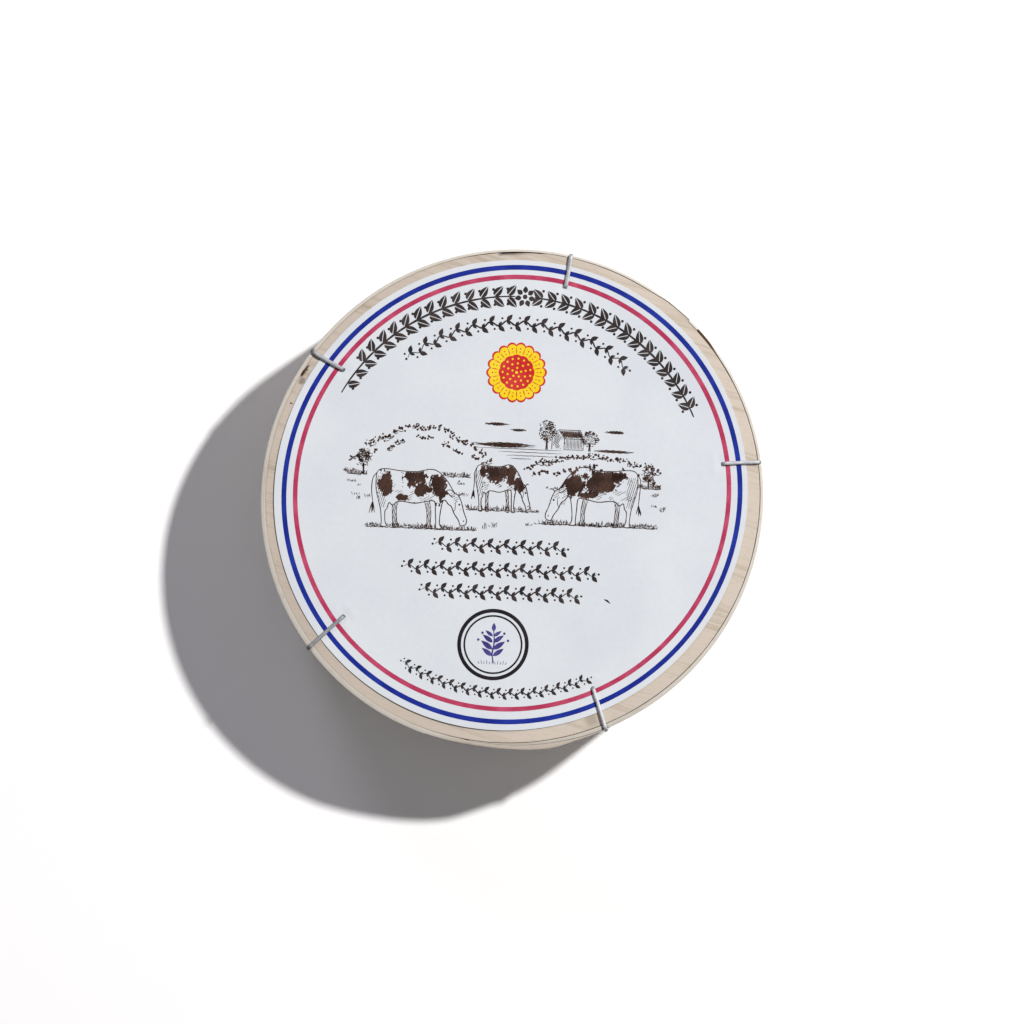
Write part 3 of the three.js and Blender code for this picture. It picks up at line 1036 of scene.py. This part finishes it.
# A cow in side view, as shares of its length from the tail and from the ground.
GRAZING_COW = [
    (0.0, 0.58), (0.02, 0.675), (0.11, 0.705), (0.31, 0.685), (0.50, 0.685), (0.66, 0.72), (0.77, 0.69),
    (0.88, 0.58), (0.965, 0.45), (1.02, 0.41), (1.06, 0.33), (1.095, 0.21), (1.13, 0.12), (1.12, 0.06),
    (1.06, 0.045), (1.03, 0.11), (0.975, 0.19), (0.94, 0.27), (0.90, 0.30), (0.86, 0.345), (0.83, 0.33),
    (0.805, 0.19), (0.80, 0.06), (0.825, 0.0), (0.76, 0.0), (0.755, 0.06), (0.745, 0.19), (0.73, 0.325),
    (0.64, 0.325), (0.49, 0.295), (0.35, 0.31), (0.27, 0.305), (0.215, 0.26), (0.17, 0.29), (0.15, 0.22),
    (0.125, 0.18), (0.13, 0.06), (0.15, 0.0), (0.085, 0.0), (0.085, 0.06), (0.07, 0.20), (0.04, 0.31),
    (0.005, 0.45),
]
FAR_FORELEG = [
    (0.665, 0.35), (0.69, 0.20), (0.69, 0.06), (0.71, 0.0), (0.65, 0.0), (0.645, 0.06), (0.64, 0.19),
    (0.60, 0.34),
]
FAR_HINDLEG = [
    (0.29, 0.33), (0.265, 0.22), (0.275, 0.06), (0.29, 0.0), (0.23, 0.0), (0.225, 0.06), (0.215, 0.19),
    (0.21, 0.28),
]
EAR = [(0.975, 0.425), (0.925, 0.475), (0.875, 0.465), (0.905, 0.42), (0.95, 0.39)]
HORN = [(1.02, 0.395), (1.055, 0.435), (1.095, 0.43)]
CHEEK = [(0.985, 0.33), (0.985, 0.25), (0.965, 0.21)]
EYE = (1.035, 0.30)
NOSTRIL = (1.095, 0.10)
TAIL_ROOT = (0.01, 0.66)
# Where each cow stands, its length, how far it is turned from a side view, the way it faces, the rest of its
# tail, and its patches as x, y, radius along and up.
COWS = [
    dict(at=(-30.4, -9.0), size=18.6, squeeze=1.0, flip=False,
         tail=[(-0.04, 0.58), (-0.05, 0.44), (-0.03, 0.30)],
         patches=[(0.12, 0.55, 0.10, 0.17), (0.47, 0.62, 0.16, 0.14), (0.78, 0.50, 0.11, 0.18),
                  (0.58, 0.47, 0.09, 0.09), (0.33, 0.36, 0.09, 0.05)]),
    dict(at=(-7.6, -4.6), size=15.0, squeeze=0.74, flip=False,
         tail=[(-0.03, 0.58), (-0.03, 0.44), (-0.04, 0.32)],
         patches=[(0.42, 0.58, 0.24, 0.17), (0.72, 0.58, 0.10, 0.19), (0.88, 0.42, 0.11, 0.14),
                  (0.14, 0.60, 0.07, 0.09)]),
    dict(at=(29.4, -6.9), size=18.4, squeeze=1.0, flip=True,
         tail=[(-0.035, 0.58), (-0.03, 0.42), (-0.02, 0.28)],
         patches=[(0.44, 0.56, 0.22, 0.18), (0.80, 0.50, 0.13, 0.17), (0.22, 0.62, 0.10, 0.08),
                  (0.60, 0.38, 0.12, 0.05)]),
]


def extent(shape):
    """Lowest x and y, and highest x and y, of a shape's points."""
    xs, ys = zip(*shape)
    return min(xs), min(ys), max(xs), max(ys)


class Picture:
    """Pen work of the pasture. Lines behind a cow stop at its outline."""

    def __init__(self, ink, centre):
        self.ink = ink
        self.centre = centre
        self.rng = ink.rng
        self.covers = []

    def on_label(self, points):
        return put(points, self.centre, turn=PRINT_TURN)

    def cover(self, shape):
        self.covers.append((shape, extent(shape)))

    def hidden(self, x, y):
        return any(left < x < right and low < y < high and inside(shape, x, y)
                   for shape, (left, low, right, high) in self.covers)

    def pen(self, points, width, taper, keep):
        """Inks the stretches of a line where keep(x, y) says. The points may be made as they are needed."""
        run = []
        for x, y in points:
            if keep(x, y):
                run.append((x, y))
                continue
            self.ink.stroke(self.on_label(run), width, taper)
            run = []
        self.ink.stroke(self.on_label(run), width, taper)

    def line(self, points, width, taper=0.25):
        self.pen(points, width, taper, lambda x, y: True)

    def line_behind(self, points, width, taper):
        self.pen(points, width, taper, lambda x, y: not self.hidden(x, y))

    def dot(self, place, radius, sides):
        self.ink.dot(*self.on_label([place])[0], radius, sides)

    def blot(self, x, y, radius):
        """A small uneven dot, unless something in front hides it."""
        if not self.hidden(x, y):
            rounds = [polar(radius * self.rng.uniform(0.6, 1.3), 45 * i) for i in range(8)]
            self.ink.area(put(rounds, self.on_label([(x, y)])[0]))

    def speckle(self, shape, count):
        """Small dots inside a shape."""
        left, low, right, high = extent(shape)
        for _ in range(count):
            x, y = self.rng.uniform(left, right), self.rng.uniform(low, high)
            if inside(shape, x, y):
                self.dot((x, y), self.rng.uniform(0.07, 0.16), 6)

    def hatch(self, shape, direction, gap, width, keep=lambda x, y: True):
        """Parallel pen lines inside a shape, wherever keep(x, y) says."""
        left, low, right, high = extent(shape)
        reach = math.hypot(right - left, high - low) / 2

        def across(offset):
            along = -reach
            while along < reach:
                dx, dy = turned(along, offset + 0.03 * self.rng.uniform(-1, 1), direction)
                yield (left + right) / 2 + dx, (low + high) / 2 + dy
                along += 0.22

        offset = -reach
        while offset < reach:
            self.pen(across(offset), width, 0.5, lambda x, y: inside(shape, x, y) and keep(x, y))
            offset += gap


def draw_cow(picture, cow):
    """Draws a cow, and returns its outline."""
    size = cow["size"]
    rng = picture.rng

    def at(points):
        return put([(x * cow["squeeze"], y) for x, y in points], cow["at"], size, cow["flip"])

    outline = curve(at(GRAZING_COW), closed=True, steps=4)
    for leg in (FAR_FORELEG, FAR_HINDLEG):
        shape = curve(at(leg), steps=3)
        picture.line(shape, 0.2)
        picture.hatch(shape, 80, 0.34, 0.16, lambda x, y: not inside(outline, x, y))
    picture.line([*outline, outline[0]], 0.22, 0.8)

    for number, (px, py, long, tall) in enumerate(cow["patches"]):
        (cx, cy), = at([(px, py)])
        reach_x, reach_y = long * size * cow["squeeze"], tall * size

        def in_patch(x, y):
            ragged = 0.5 * ripple(x, y, number + size, 0.7) + 0.42 * ripple(x, y, number, 2.4)
            return math.hypot((x - cx) / reach_x, (y - cy) / reach_y) + ragged < 1

        picture.hatch(outline, 62 + 7 * number, 0.15, 0.22, in_patch)

    (_, belly), (rump, thigh) = at([(0.5, 0.33), (0.06, 0.42)])

    def under_belly(x, y):
        return belly - 0.2 < y < belly + 0.12 * size and ripple(x, y, 3, 0.6) > 0

    def on_thigh(x, y):
        return abs(x - rump) < 0.07 * size and abs(y - thigh) < 0.2 * size

    picture.hatch(outline, 30, 0.45, 0.11, under_belly)
    picture.hatch(outline, 75, 0.45, 0.12, on_thigh)
    picture.speckle(outline, int(size * 3.2))

    picture.line(curve(at(EAR), closed=True, steps=3), 0.2, 0.8)
    picture.line(curve(at(HORN)), 0.22, 0.4)
    picture.line(curve(at(CHEEK)), 0.14)
    picture.dot(at([EYE])[0], 0.24, 8)
    picture.dot(at([NOSTRIL])[0], 0.16, 8)
    picture.line(curve(at([TAIL_ROOT, *cow["tail"]])), 0.2, 0.6)
    tx, ty = cow["tail"][-1]
    for _ in range(9):
        sway = rng.uniform(-0.045, 0.03)
        tip = (tx + sway, ty - rng.uniform(0.1, 0.15))
        picture.line(curve(at([(tx, ty), (tx + sway / 2, ty - 0.06), tip])), 0.2)
    return outline


def draw_turf(picture, start, end, y):
    """The dark uneven line of grass that a cow stands in."""
    rng = picture.rng
    x = start
    while x < end:
        draw_tuft(picture, x, y + rng.uniform(-0.3, 0.25), rng.uniform(0.5, 1.3))
        length = rng.uniform(0.5, 1.4)
        left, right = y + rng.uniform(-0.3, 0.15), y + rng.uniform(-0.3, 0.15)
        picture.line_behind([(x, left), (x + length, right)], 0.34, 0.4)
        x += rng.uniform(0.28, 0.6)


def draw_dabs(picture, points):
    """Leaves as short dabs of the pen, scattered along a line."""
    rng = picture.rng
    for x, y in curve(points, steps=9):
        x, y = x + rng.gauss(0, 0.22), y + rng.gauss(0, 0.22 * 0.7)
        heading, length = rng.uniform(0, 180), rng.uniform(0.22, 0.6)
        dx, dy = polar(length, heading)
        picture.line_behind([(x, y), (x + dx, y + dy * 0.7)], rng.uniform(0.2, 0.36), 0.6)


def draw_clusters(picture, points, apart, size):
    """A leafy outline: a row of small dark clumps of dabs, some with a curved edge below."""
    rng = picture.rng
    path = curve(points, steps=12)
    travelled, due = 0.0, 0.0
    for before, (x, y) in zip(path, path[1:]):
        travelled += math.hypot(x - before[0], y - before[1])
        if travelled < due:
            continue
        due = travelled + rng.uniform(0.55, 1.1) * apart
        reach = rng.uniform(0.6, 1.3) * size
        for _ in range(int(4 + 9 * reach)):
            dx, dy = rng.gauss(0, reach * 0.8), rng.gauss(0, reach * 0.55)
            picture.blot(x + dx, y + dy, rng.uniform(0.12, 0.3))
        swag = []
        for k in range(7):
            sag = reach * (0.7 + 0.6 * math.sin(math.pi * k / 6))
            swag.append((x + reach * (k / 3 - 1) * 1.5, y - sag))
        if rng.random() < 0.4:
            picture.line_behind(swag, 0.17, 0.4)


def draw_lens(picture, x, y, long, tall, lines):
    """A thin dark shape of level strokes, such as a far strip of land or a small cloud."""
    rng = picture.rng
    for i in range(lines):
        level = 2 * (i + 0.5) / lines - 1
        reach = long / 2 * math.sqrt(1 - level * level) * rng.uniform(0.75, 1.05)
        middle = x + rng.uniform(-0.06, 0.06) * long
        height = y + tall / 2 * level
        row = [(middle + reach * (k / 10 - 1), height + 0.05 * math.sin(k * 1.3)) for k in range(21)]
        picture.line_behind(row, 0.19, 0.2)


def draw_tuft(picture, x, y, size):
    rng = picture.rng
    for _ in range(rng.randint(3, 6)):
        lean = rng.uniform(-0.5, 0.5) * size
        tall = rng.uniform(0.5, 1.0) * size
        picture.line_behind([(x, y), (x + lean * 0.4, y + tall * 0.6), (x + lean, y + tall)], 0.12, 0.3)
        x += rng.uniform(0.1, 0.35)


def draw_foliage(picture, shape, count):
    """Scribbled leaves filling a shape, thicker in some parts than in others."""
    left, low, right, high = extent(shape)
    rng = picture.rng
    placed = 0
    while placed < count:
        x, y = rng.uniform(left, right), rng.uniform(low, high)
        if not inside(shape, x, y):
            continue
        placed += 1
        shade = ripple(x, y, 7.0, 0.28)
        if shade > 0.2 and rng.random() < 0.6:
            continue
        reach = 0.42 * rng.uniform(0.5, 1.1)
        start = rng.uniform(-40, 60)
        leaf = []
        for turn in range(0, 200, 28):
            dx, dy = polar(reach * (1 + 0.25 * math.sin(3 * math.radians(turn))), turn + start)
            leaf.append((x + dx, y + dy * 0.8))
        picture.line_behind(leaf, 0.1 if shade > -0.1 else 0.15, 0.3)


def draw_tree(picture, x, y, tall, wide):
    """A small round tree: a crown of scribbles and dabs on a short dark trunk."""
    crown = [(wide * 0.5 * math.cos(a), tall * 0.64 + tall * 0.36 * math.sin(a)) for a in range(7)]
    crown = put(crown, (x, y))
    draw_foliage(picture, crown, int(tall * wide * 3.2))
    draw_dabs(picture, [*crown, crown[0]])
    for side in (-0.05, 0.0, 0.06):
        trunk = [(side * wide * 1.2, 0), (side * wide * 0.5, tall * 0.2), (side * wide, tall * 0.42)]
        picture.line_behind(put(trunk, (x, y)), 0.22, 0.6)


def draw_barn(picture, x, y, size):
    """A small distant barn: a gabled end, a long roof and a boarded wall."""
    for points, width in (
        ([(0, 0), (0, 0.5), (0.28, 0.9), (0.56, 0.5), (0.56, 0)], 0.16),
        ([(0.28, 0.9), (1.28, 0.9), (1.5, 0.5), (0.56, 0.5)], 0.16),
        ([(1.44, 0.5), (1.44, 0), (0.56, 0)], 0.14),
    ):
        picture.line(put(points, (x, y), size), width, 0.9)
    roof = [(0.3, 0.88), (1.26, 0.88), (1.46, 0.52), (0.58, 0.52)]
    wall = [(0.58, 0.48), (1.42, 0.48), (1.42, 0.02), (0.58, 0.02)]
    gable = [(0.04, 0.02), (0.04, 0.48), (0.28, 0.84), (0.52, 0.48), (0.52, 0.02)]
    picture.hatch(put(roof, (x, y), size), 118, 0.2, 0.19)
    picture.hatch(put(wall, (x, y), size), 90, 0.32, 0.13)
    picture.hatch(put(gable, (x, y), size), 60, 0.3, 0.16, lambda px, py: ripple(px, py, 2.0, 0.9) > -0.12)


def draw_hedge(picture, start, end, foot, rise, humps):
    """A hedge's leafy top, one long rise with small humps on it, and short leafy strokes below."""
    def top(part):
        return foot + rise * math.sin(math.pi * part) + 0.9 * abs(math.sin(math.pi * humps * part))

    draw_clusters(picture, [(mix(start, end, k / 16), top(k / 16)) for k in range(17)], 1.5, 0.55)
    for k in range(humps + 1):
        left = (k + 0.3) / (humps + 1)
        drop = 2.3 + 0.7 * (k % 2)
        stroke = [(mix(start, end, part), top(part) - drop) for part in (left, left + 0.06, left + 0.12)]
        draw_clusters(picture, stroke, 1.3, 0.42)


# Grass under each cow and farther off, as start, end and height, and places of loose tufts.
NEAR_TURF = [(-32.5, -7.8, -9.1), (-9.6, 6.8, -4.3), (7.4, 33.5, -6.9)]
FAR_TURF = [(-37, -33, 2.7), (-15.6, -10.0, 3.0), (28.6, 34.2, 2.2)]
TUFTS = [
    (-36, 0.5), (-34, -3), (-37, 3), (-11.5, 1.2), (-12.5, -1.5), (9.5, 1.0), (11.5, -1.8), (33, 0.5),
    (34.5, -2.5), (-5, -8.5), (5.8, -7.5),
]


def draw_pasture(ink, centre):
    """Three spotted cows in a meadow, with hedges, trees and a barn behind, under a few clouds."""
    picture = Picture(ink, centre)
    rng = picture.rng
    for cow in COWS:
        picture.cover(draw_cow(picture, cow))
    for place in NEAR_TURF:
        draw_turf(picture, *place)
    for x, y in TUFTS:
        for _ in range(4):
            draw_tuft(picture, x + rng.gauss(0, 0.9), y + rng.gauss(0, 0.35), rng.uniform(0.5, 1.1))

    draw_hedge(picture, -36, -4, 6.0, 7.6, 4)
    draw_hedge(picture, 4, 34.5, 5.4, 2.8, 5)
    for place in FAR_TURF:
        draw_turf(picture, *place)
    draw_tree(picture, -33.4, 2.9, 5.4, 2.4)
    draw_tree(picture, 31.8, 2.3, 4.8, 2.1)

    draw_lens(picture, -1.0, 10.7, 15, 1.1, 8)
    for y, start, end in ((9.9, -8, 12), (9.2, -3, 12), (8.4, -1, 11), (7.7, 0, 5)):
        row = [(mix(start, end, k / 24), y + 0.1 * ripple(k * 0.6, y)) for k in range(25)]
        picture.line_behind(row, 0.15, 0.1)
    draw_barn(picture, 9.4, 10.2, 5.0)
    draw_tree(picture, 8.2, 10.0, 6.6, 3.4)
    draw_tree(picture, 18.0, 10.0, 4.4, 3.6)
    draw_lens(picture, 23.4, 10.2, 10, 0.6, 4)
    draw_lens(picture, -3.4, 15.4, 5.6, 0.65, 5)
    draw_lens(picture, 1.6, 14.2, 4.4, 0.5, 4)
    draw_lens(picture, 23.8, 14.6, 5.0, 0.6, 5)


SEAL_CENTRE = (-4.2, -34.3)
FLOWER_CENTRE = (1.2, 27.9)
PASTURE_CENTRE = (-0.6, 0.6)
UPPER_VINE = 39.2  # radius of the vine under the garland
LOWER_VINE = 45.6  # radius of the vine at the foot of the label
LOWER_VINE_START = 237
# Heights and lengths of the level vines below the picture.
LEVEL_VINES = [(-11.9, 30), (-17.3, 44), (-22.5, 36)]


def print_label():
    """Prints the label in eight inks. Each one's name, its full and its thin colour, and slot are listed."""
    blue, red, dark, brown, violet, yellow, scarlet, black = (Ink(seed) for seed in range(8))
    blue.ring((0.15, -0.02), 52.04, 1.1, 0.54)
    red.ring((0.17, 0.32), 49.49, 1.04, 0.5)
    draw_garland(dark)
    draw_scroll(dark, on_arc(UPPER_VINE, 127), math.radians(80) * UPPER_VINE, 1.1)
    for y, width in LEVEL_VINES:
        start, = put([(-width / 2, 0)], (-2.5, y), turn=PRINT_TURN)
        draw_scroll(dark, on_line(start), width, 1.05)

    def on_lower_arc(points):
        return [polar(LOWER_VINE - v, LOWER_VINE_START + math.degrees(u / LOWER_VINE)) for u, v in points]

    draw_scroll(dark, on_lower_arc, math.radians(56) * LOWER_VINE, 0.8)
    black.ring(SEAL_CENTRE, 7.75, 0.85)
    black.ring(SEAL_CENTRE, 6.55, 0.4)
    draw_sprig(violet, SEAL_CENTRE)
    draw_flower(scarlet, yellow, FLOWER_CENTRE)
    draw_pasture(brown, PASTURE_CENTRE)
    dark.stroke([(21.2, -24.0), (21.9, -24.3), (22.6, -24.9)], 0.45, 0.3)
    for ink, name, full, thin, slot in (
        (blue, "ring_blue", (6, 30, 130), (24, 48, 150), "ink_blue"),
        (red, "ring_red", (170, 45, 81), (190, 76, 108), "ink_red"),
        (black, "ring_black", (16, 12, 18), (36, 30, 36), "ink_dark"),
        (dark, "ornament", (40, 32, 32), (64, 55, 55), "ink_dark"),
        (brown, "picture", (52, 32, 25), (82, 58, 48), "ink_brown"),
        (violet, "sprig", (52, 42, 112), (84, 74, 140), "ink_blue"),
        (scarlet, "flower_red", (192, 30, 34), (204, 56, 52), "ink_red"),
        (yellow, "flower_yellow", (234, 200, 14), (236, 208, 50), "ink_yellow"),
    ):
        ink.finish("label_" + name, ink_material("ink_" + name, srgb(*full), srgb(*thin)), slot)


# ---- the wheel and its wrapper ----

def wheel_profile(radius, low, high, edge):
    """Radius and height pairs from near the axis on top, round both edges, to near the axis below."""
    top = [(radius * k / 14, high) for k in range(1, 13)]
    corner = []
    for turn in range(0, 91, 10):
        down, out = polar(edge, turn)
        corner.append((radius - edge + out, high - edge + down))
    side = [(radius, mix(high - edge, low + edge, k / 12)) for k in range(1, 12)]
    foot = [(r, low + high - z) for r, z in reversed(corner)]
    bottom = [(r, low) for r, _ in reversed(top)]
    return [*top, *corner, *side, *foot, *bottom]


def make_cheese():
    """The wheel: a slightly slack side, faint mat lines on the faces, and the uneven skin of the rind."""
    low, high = height_of("cheese", 0), height_of("cheese", 1)
    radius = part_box("cheese")[1][0] / MM - 0.35

    def point(r, z, angle):
        x, y = polar(r, angle)
        middle = (low + high) / 2
        skin = 0.16 * ripple(x, y, z * 0.05, 0.11) + 0.07 * ripple(x, y, z * 0.5, 0.6)
        if r < radius - 3.5:
            mat = 0.04 * math.cos(x * 2.1) * math.cos(y * 2.1)
            sink = 0.3 * (1 - r / radius)
            z += (1 if z < middle else -1) * (sink + abs(skin) + 0.05 + mat * 0.5)
        else:
            slack = 0.25 * math.cos((z - middle) / (high - low) * math.pi) - 0.25
            x, y = polar(r + slack + skin, angle)
        return x, y, z

    angles = spread(0, 360, 2.0)[:-1]
    profile = wheel_profile(radius, low + 0.1, high - 0.1, 4.2)
    rows = [[point(r, z, angle) for angle in angles] for r, z in profile]
    wheel = revolve([(0, 0, high - 0.45), *rows, (0, 0, low + 0.45)])
    add_piece("cheese_wheel", wheel, rind_material(), "cheese_rind", ["cheese"], sharp=80)


def make_wrapper():
    """Thin waxed paper drawn round the wheel: flat on top, creased down the side, folded in pleats below."""
    low, high = height_of("wrapper", 0) + 0.05, height_of("wrapper", 1) - 0.05
    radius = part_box("wrapper")[1][0] / MM - 0.12
    paper = 0.12
    pleats = 26
    gathered_to = 2.0

    def pleat(angle):
        """Sawtooth of the folds: a slow rise and a quick fall."""
        t = (angle * pleats / 360 + 0.2 * ripple(*polar(1.1, angle), 2.0)) % 1.0
        return t / 0.82 if t < 0.82 else (1 - t) / 0.18

    def point(r, z, angle):
        x, y = polar(r, angle)
        gathered = smooth_step(high + 0.05, low - 0.05, z)
        r -= 0.16 * gathered * pleat(angle) * smooth_step(10, 40, r)
        if z < low + 0.55:
            z += 0.2 * pleat(angle) * smooth_step(radius, radius - 8, r)
        z += 0.04 * ripple(x, y, 3.0, 0.2) * smooth_step(radius, radius - 5, r)
        return (*polar(max(r, gathered_to), angle), z)

    outside = wheel_profile(radius, low, high, 4.5)
    within = wheel_profile(radius - paper, low + paper, high - paper, 4.4)
    angles = spread(0, 360, 1.5)[:-1]
    rows = [[point(r, z, angle) for angle in angles] for r, z in [*outside, *reversed(within)]]
    bag = revolve([(0, 0, high), *rows, (0, 0, high - paper)])
    add_piece("wheel_wrapper", bag, wrapper_paper, "wrapper_paper", ["wrapper"], sharp=60)


# ---- assembly ----

def no_change(*_):
    return 0.0


def base_edge(angle):
    return BASE_INSIDE - 0.12 + oval(angle) + 0.04 * ripple(angle * 0.8, 8.0)


hoop("lid_hoop_veneer", "lid_hoop", LID_LAP, lid_faces, LID_STAPLES, True, hoop_wood, lid_hoop_torn)
hoop("base_hoop_veneer", "base_hoop", BASE_LAP, base_faces, BASE_STAPLES, False, base_wood)
disc("lid_disc_veneer", "lid_disc", lid_edge, disc_wood, GRAIN_ANGLE, lid_stain_and_shade, lid_dip,
     [(40, 47, 0.12), (81, 94, 0.12), (144, 158, 0.12), (286, 292, 0.25)])
disc("base_disc_veneer", "base_disc", base_edge, base_wood, 64, no_change, no_change, [])
make_label()
print_label()
make_cheese()
make_wrapper()

label_top = height_of("label", 1)
rest = WIRE_THICKNESS / 2 + WIRE_REST
# How far each lid staple's run is rolled about its length in degrees, its width, and how much painted shade
# darkens it.
handling = [(-6, 0.92, 0.42), (8, 0.92, 0.04), (4, 0.82, 0.08), (7, 0.84, 0.06), (0, 0.9, 0.42)]
for number, (staple, (roll, width, painted_shade)) in enumerate(zip(LID_STAPLES, handling), 1):
    corners = staple_corners(staple, LID_LAP, LID_INSIDE, label_top + rest, disc_underside - rest, LID_PIERCE)
    staple_wire(f"lid_wire_{number}", f"lid_staple_{number}", corners, number, roll, width, painted_shade)
for number, staple in enumerate(BASE_STAPLES, 1):
    corners = staple_corners(staple, BASE_LAP, BASE_INSIDE, rest, base_disc_top + rest, BASE_PIERCE)
    staple_wire(f"base_wire_{number}", f"base_staple_{number}", corners, number + 10)


# ---- floor, light and camera ----

FLOOR_HALF = 4.0  # metres
CAMERA_HEIGHT = 0.92  # above the lid, metres
VIEW_WIDTH = 0.2341  # width of the picture at the lid's height, metres
VIEW_CENTRE = (0.0001, -0.0030)  # the box sits a little above the middle of the picture
KEY = dict(azimuth=36.2, height=49.1, distance=2.5, radius=0.06, watts=285, colour=(1.0, 0.985, 0.965))
FILL = dict(azimuth=112, height=34, distance=2.0, size=0.5, watts=4.7, colour=(0.94, 0.92, 1.08))
SKY = 0.186
SKY_COLOUR = (1.0, 0.985, 1.03)


def add_floor():
    mesh = bpy.data.meshes.new("ground")
    corners = [(x * FLOOR_HALF, y * FLOOR_HALF, 0) for x, y in ((-1, -1), (1, -1), (1, 1), (-1, 1))]
    mesh.from_pydata(corners, [], [(0, 1, 2, 3)])
    mesh.materials.append(floor_material())
    ground = add_object("ground", mesh)


def add_light(kind, light):
    """A soft light pointed at the box from an azimuth and height in degrees."""
    lamp = bpy.data.lights.new(kind.lower(), kind)
    lamp.energy = light["watts"]
    lamp.color = light["colour"]
    if kind == "AREA":
        lamp.shape = "DISK"
        lamp.size = light["size"]
    else:
        lamp.shadow_soft_size = light["radius"]
    holder = add_object(kind.lower(), lamp)
    level, up = polar(light["distance"], light["height"])
    holder.location = (*polar(level, light["azimuth"]), up)
    holder.rotation_euler = (-holder.location).to_track_quat("-Z", "Y").to_euler()


def add_sky():
    """Even light from all round, which the camera sees as plain white."""
    world = bpy.data.worlds.new("sky")
    world.use_nodes = True
    nodes, links = world.node_tree.nodes, world.node_tree.links
    glow, white = nodes["Background"], nodes.new("ShaderNodeBackground")
    for shader, colour, strength in ((glow, SKY_COLOUR, SKY), (white, (1, 1, 1), 1)):
        shader.inputs["Color"].default_value = (*colour, 1)
        shader.inputs["Strength"].default_value = strength
    seen = nodes.new("ShaderNodeLightPath")
    choose = nodes.new("ShaderNodeMixShader")
    for source, socket in ((seen.outputs["Is Camera Ray"], 0), (glow.outputs[0], 1), (white.outputs[0], 2)):
        links.new(source, choose.inputs[socket])
    links.new(choose.outputs[0], nodes["World Output"].inputs["Surface"])
    bpy.context.scene.world = world


def add_camera():
    camera = bpy.data.cameras.new("camera")
    camera.lens = camera.sensor_width * CAMERA_HEIGHT / VIEW_WIDTH
    camera.clip_start = 0.05
    camera.clip_end = 50
    holder = add_object("camera", camera)
    holder.location = (*VIEW_CENTRE, lid_top * MM + CAMERA_HEIGHT)
    bpy.context.scene.camera = holder


add_floor()
add_light("POINT", KEY)
add_light("AREA", FILL)
add_sky()
add_camera()
bpy.context.scene.view_settings.view_transform = "Standard"
bpy.context.scene.view_settings.look = "None"
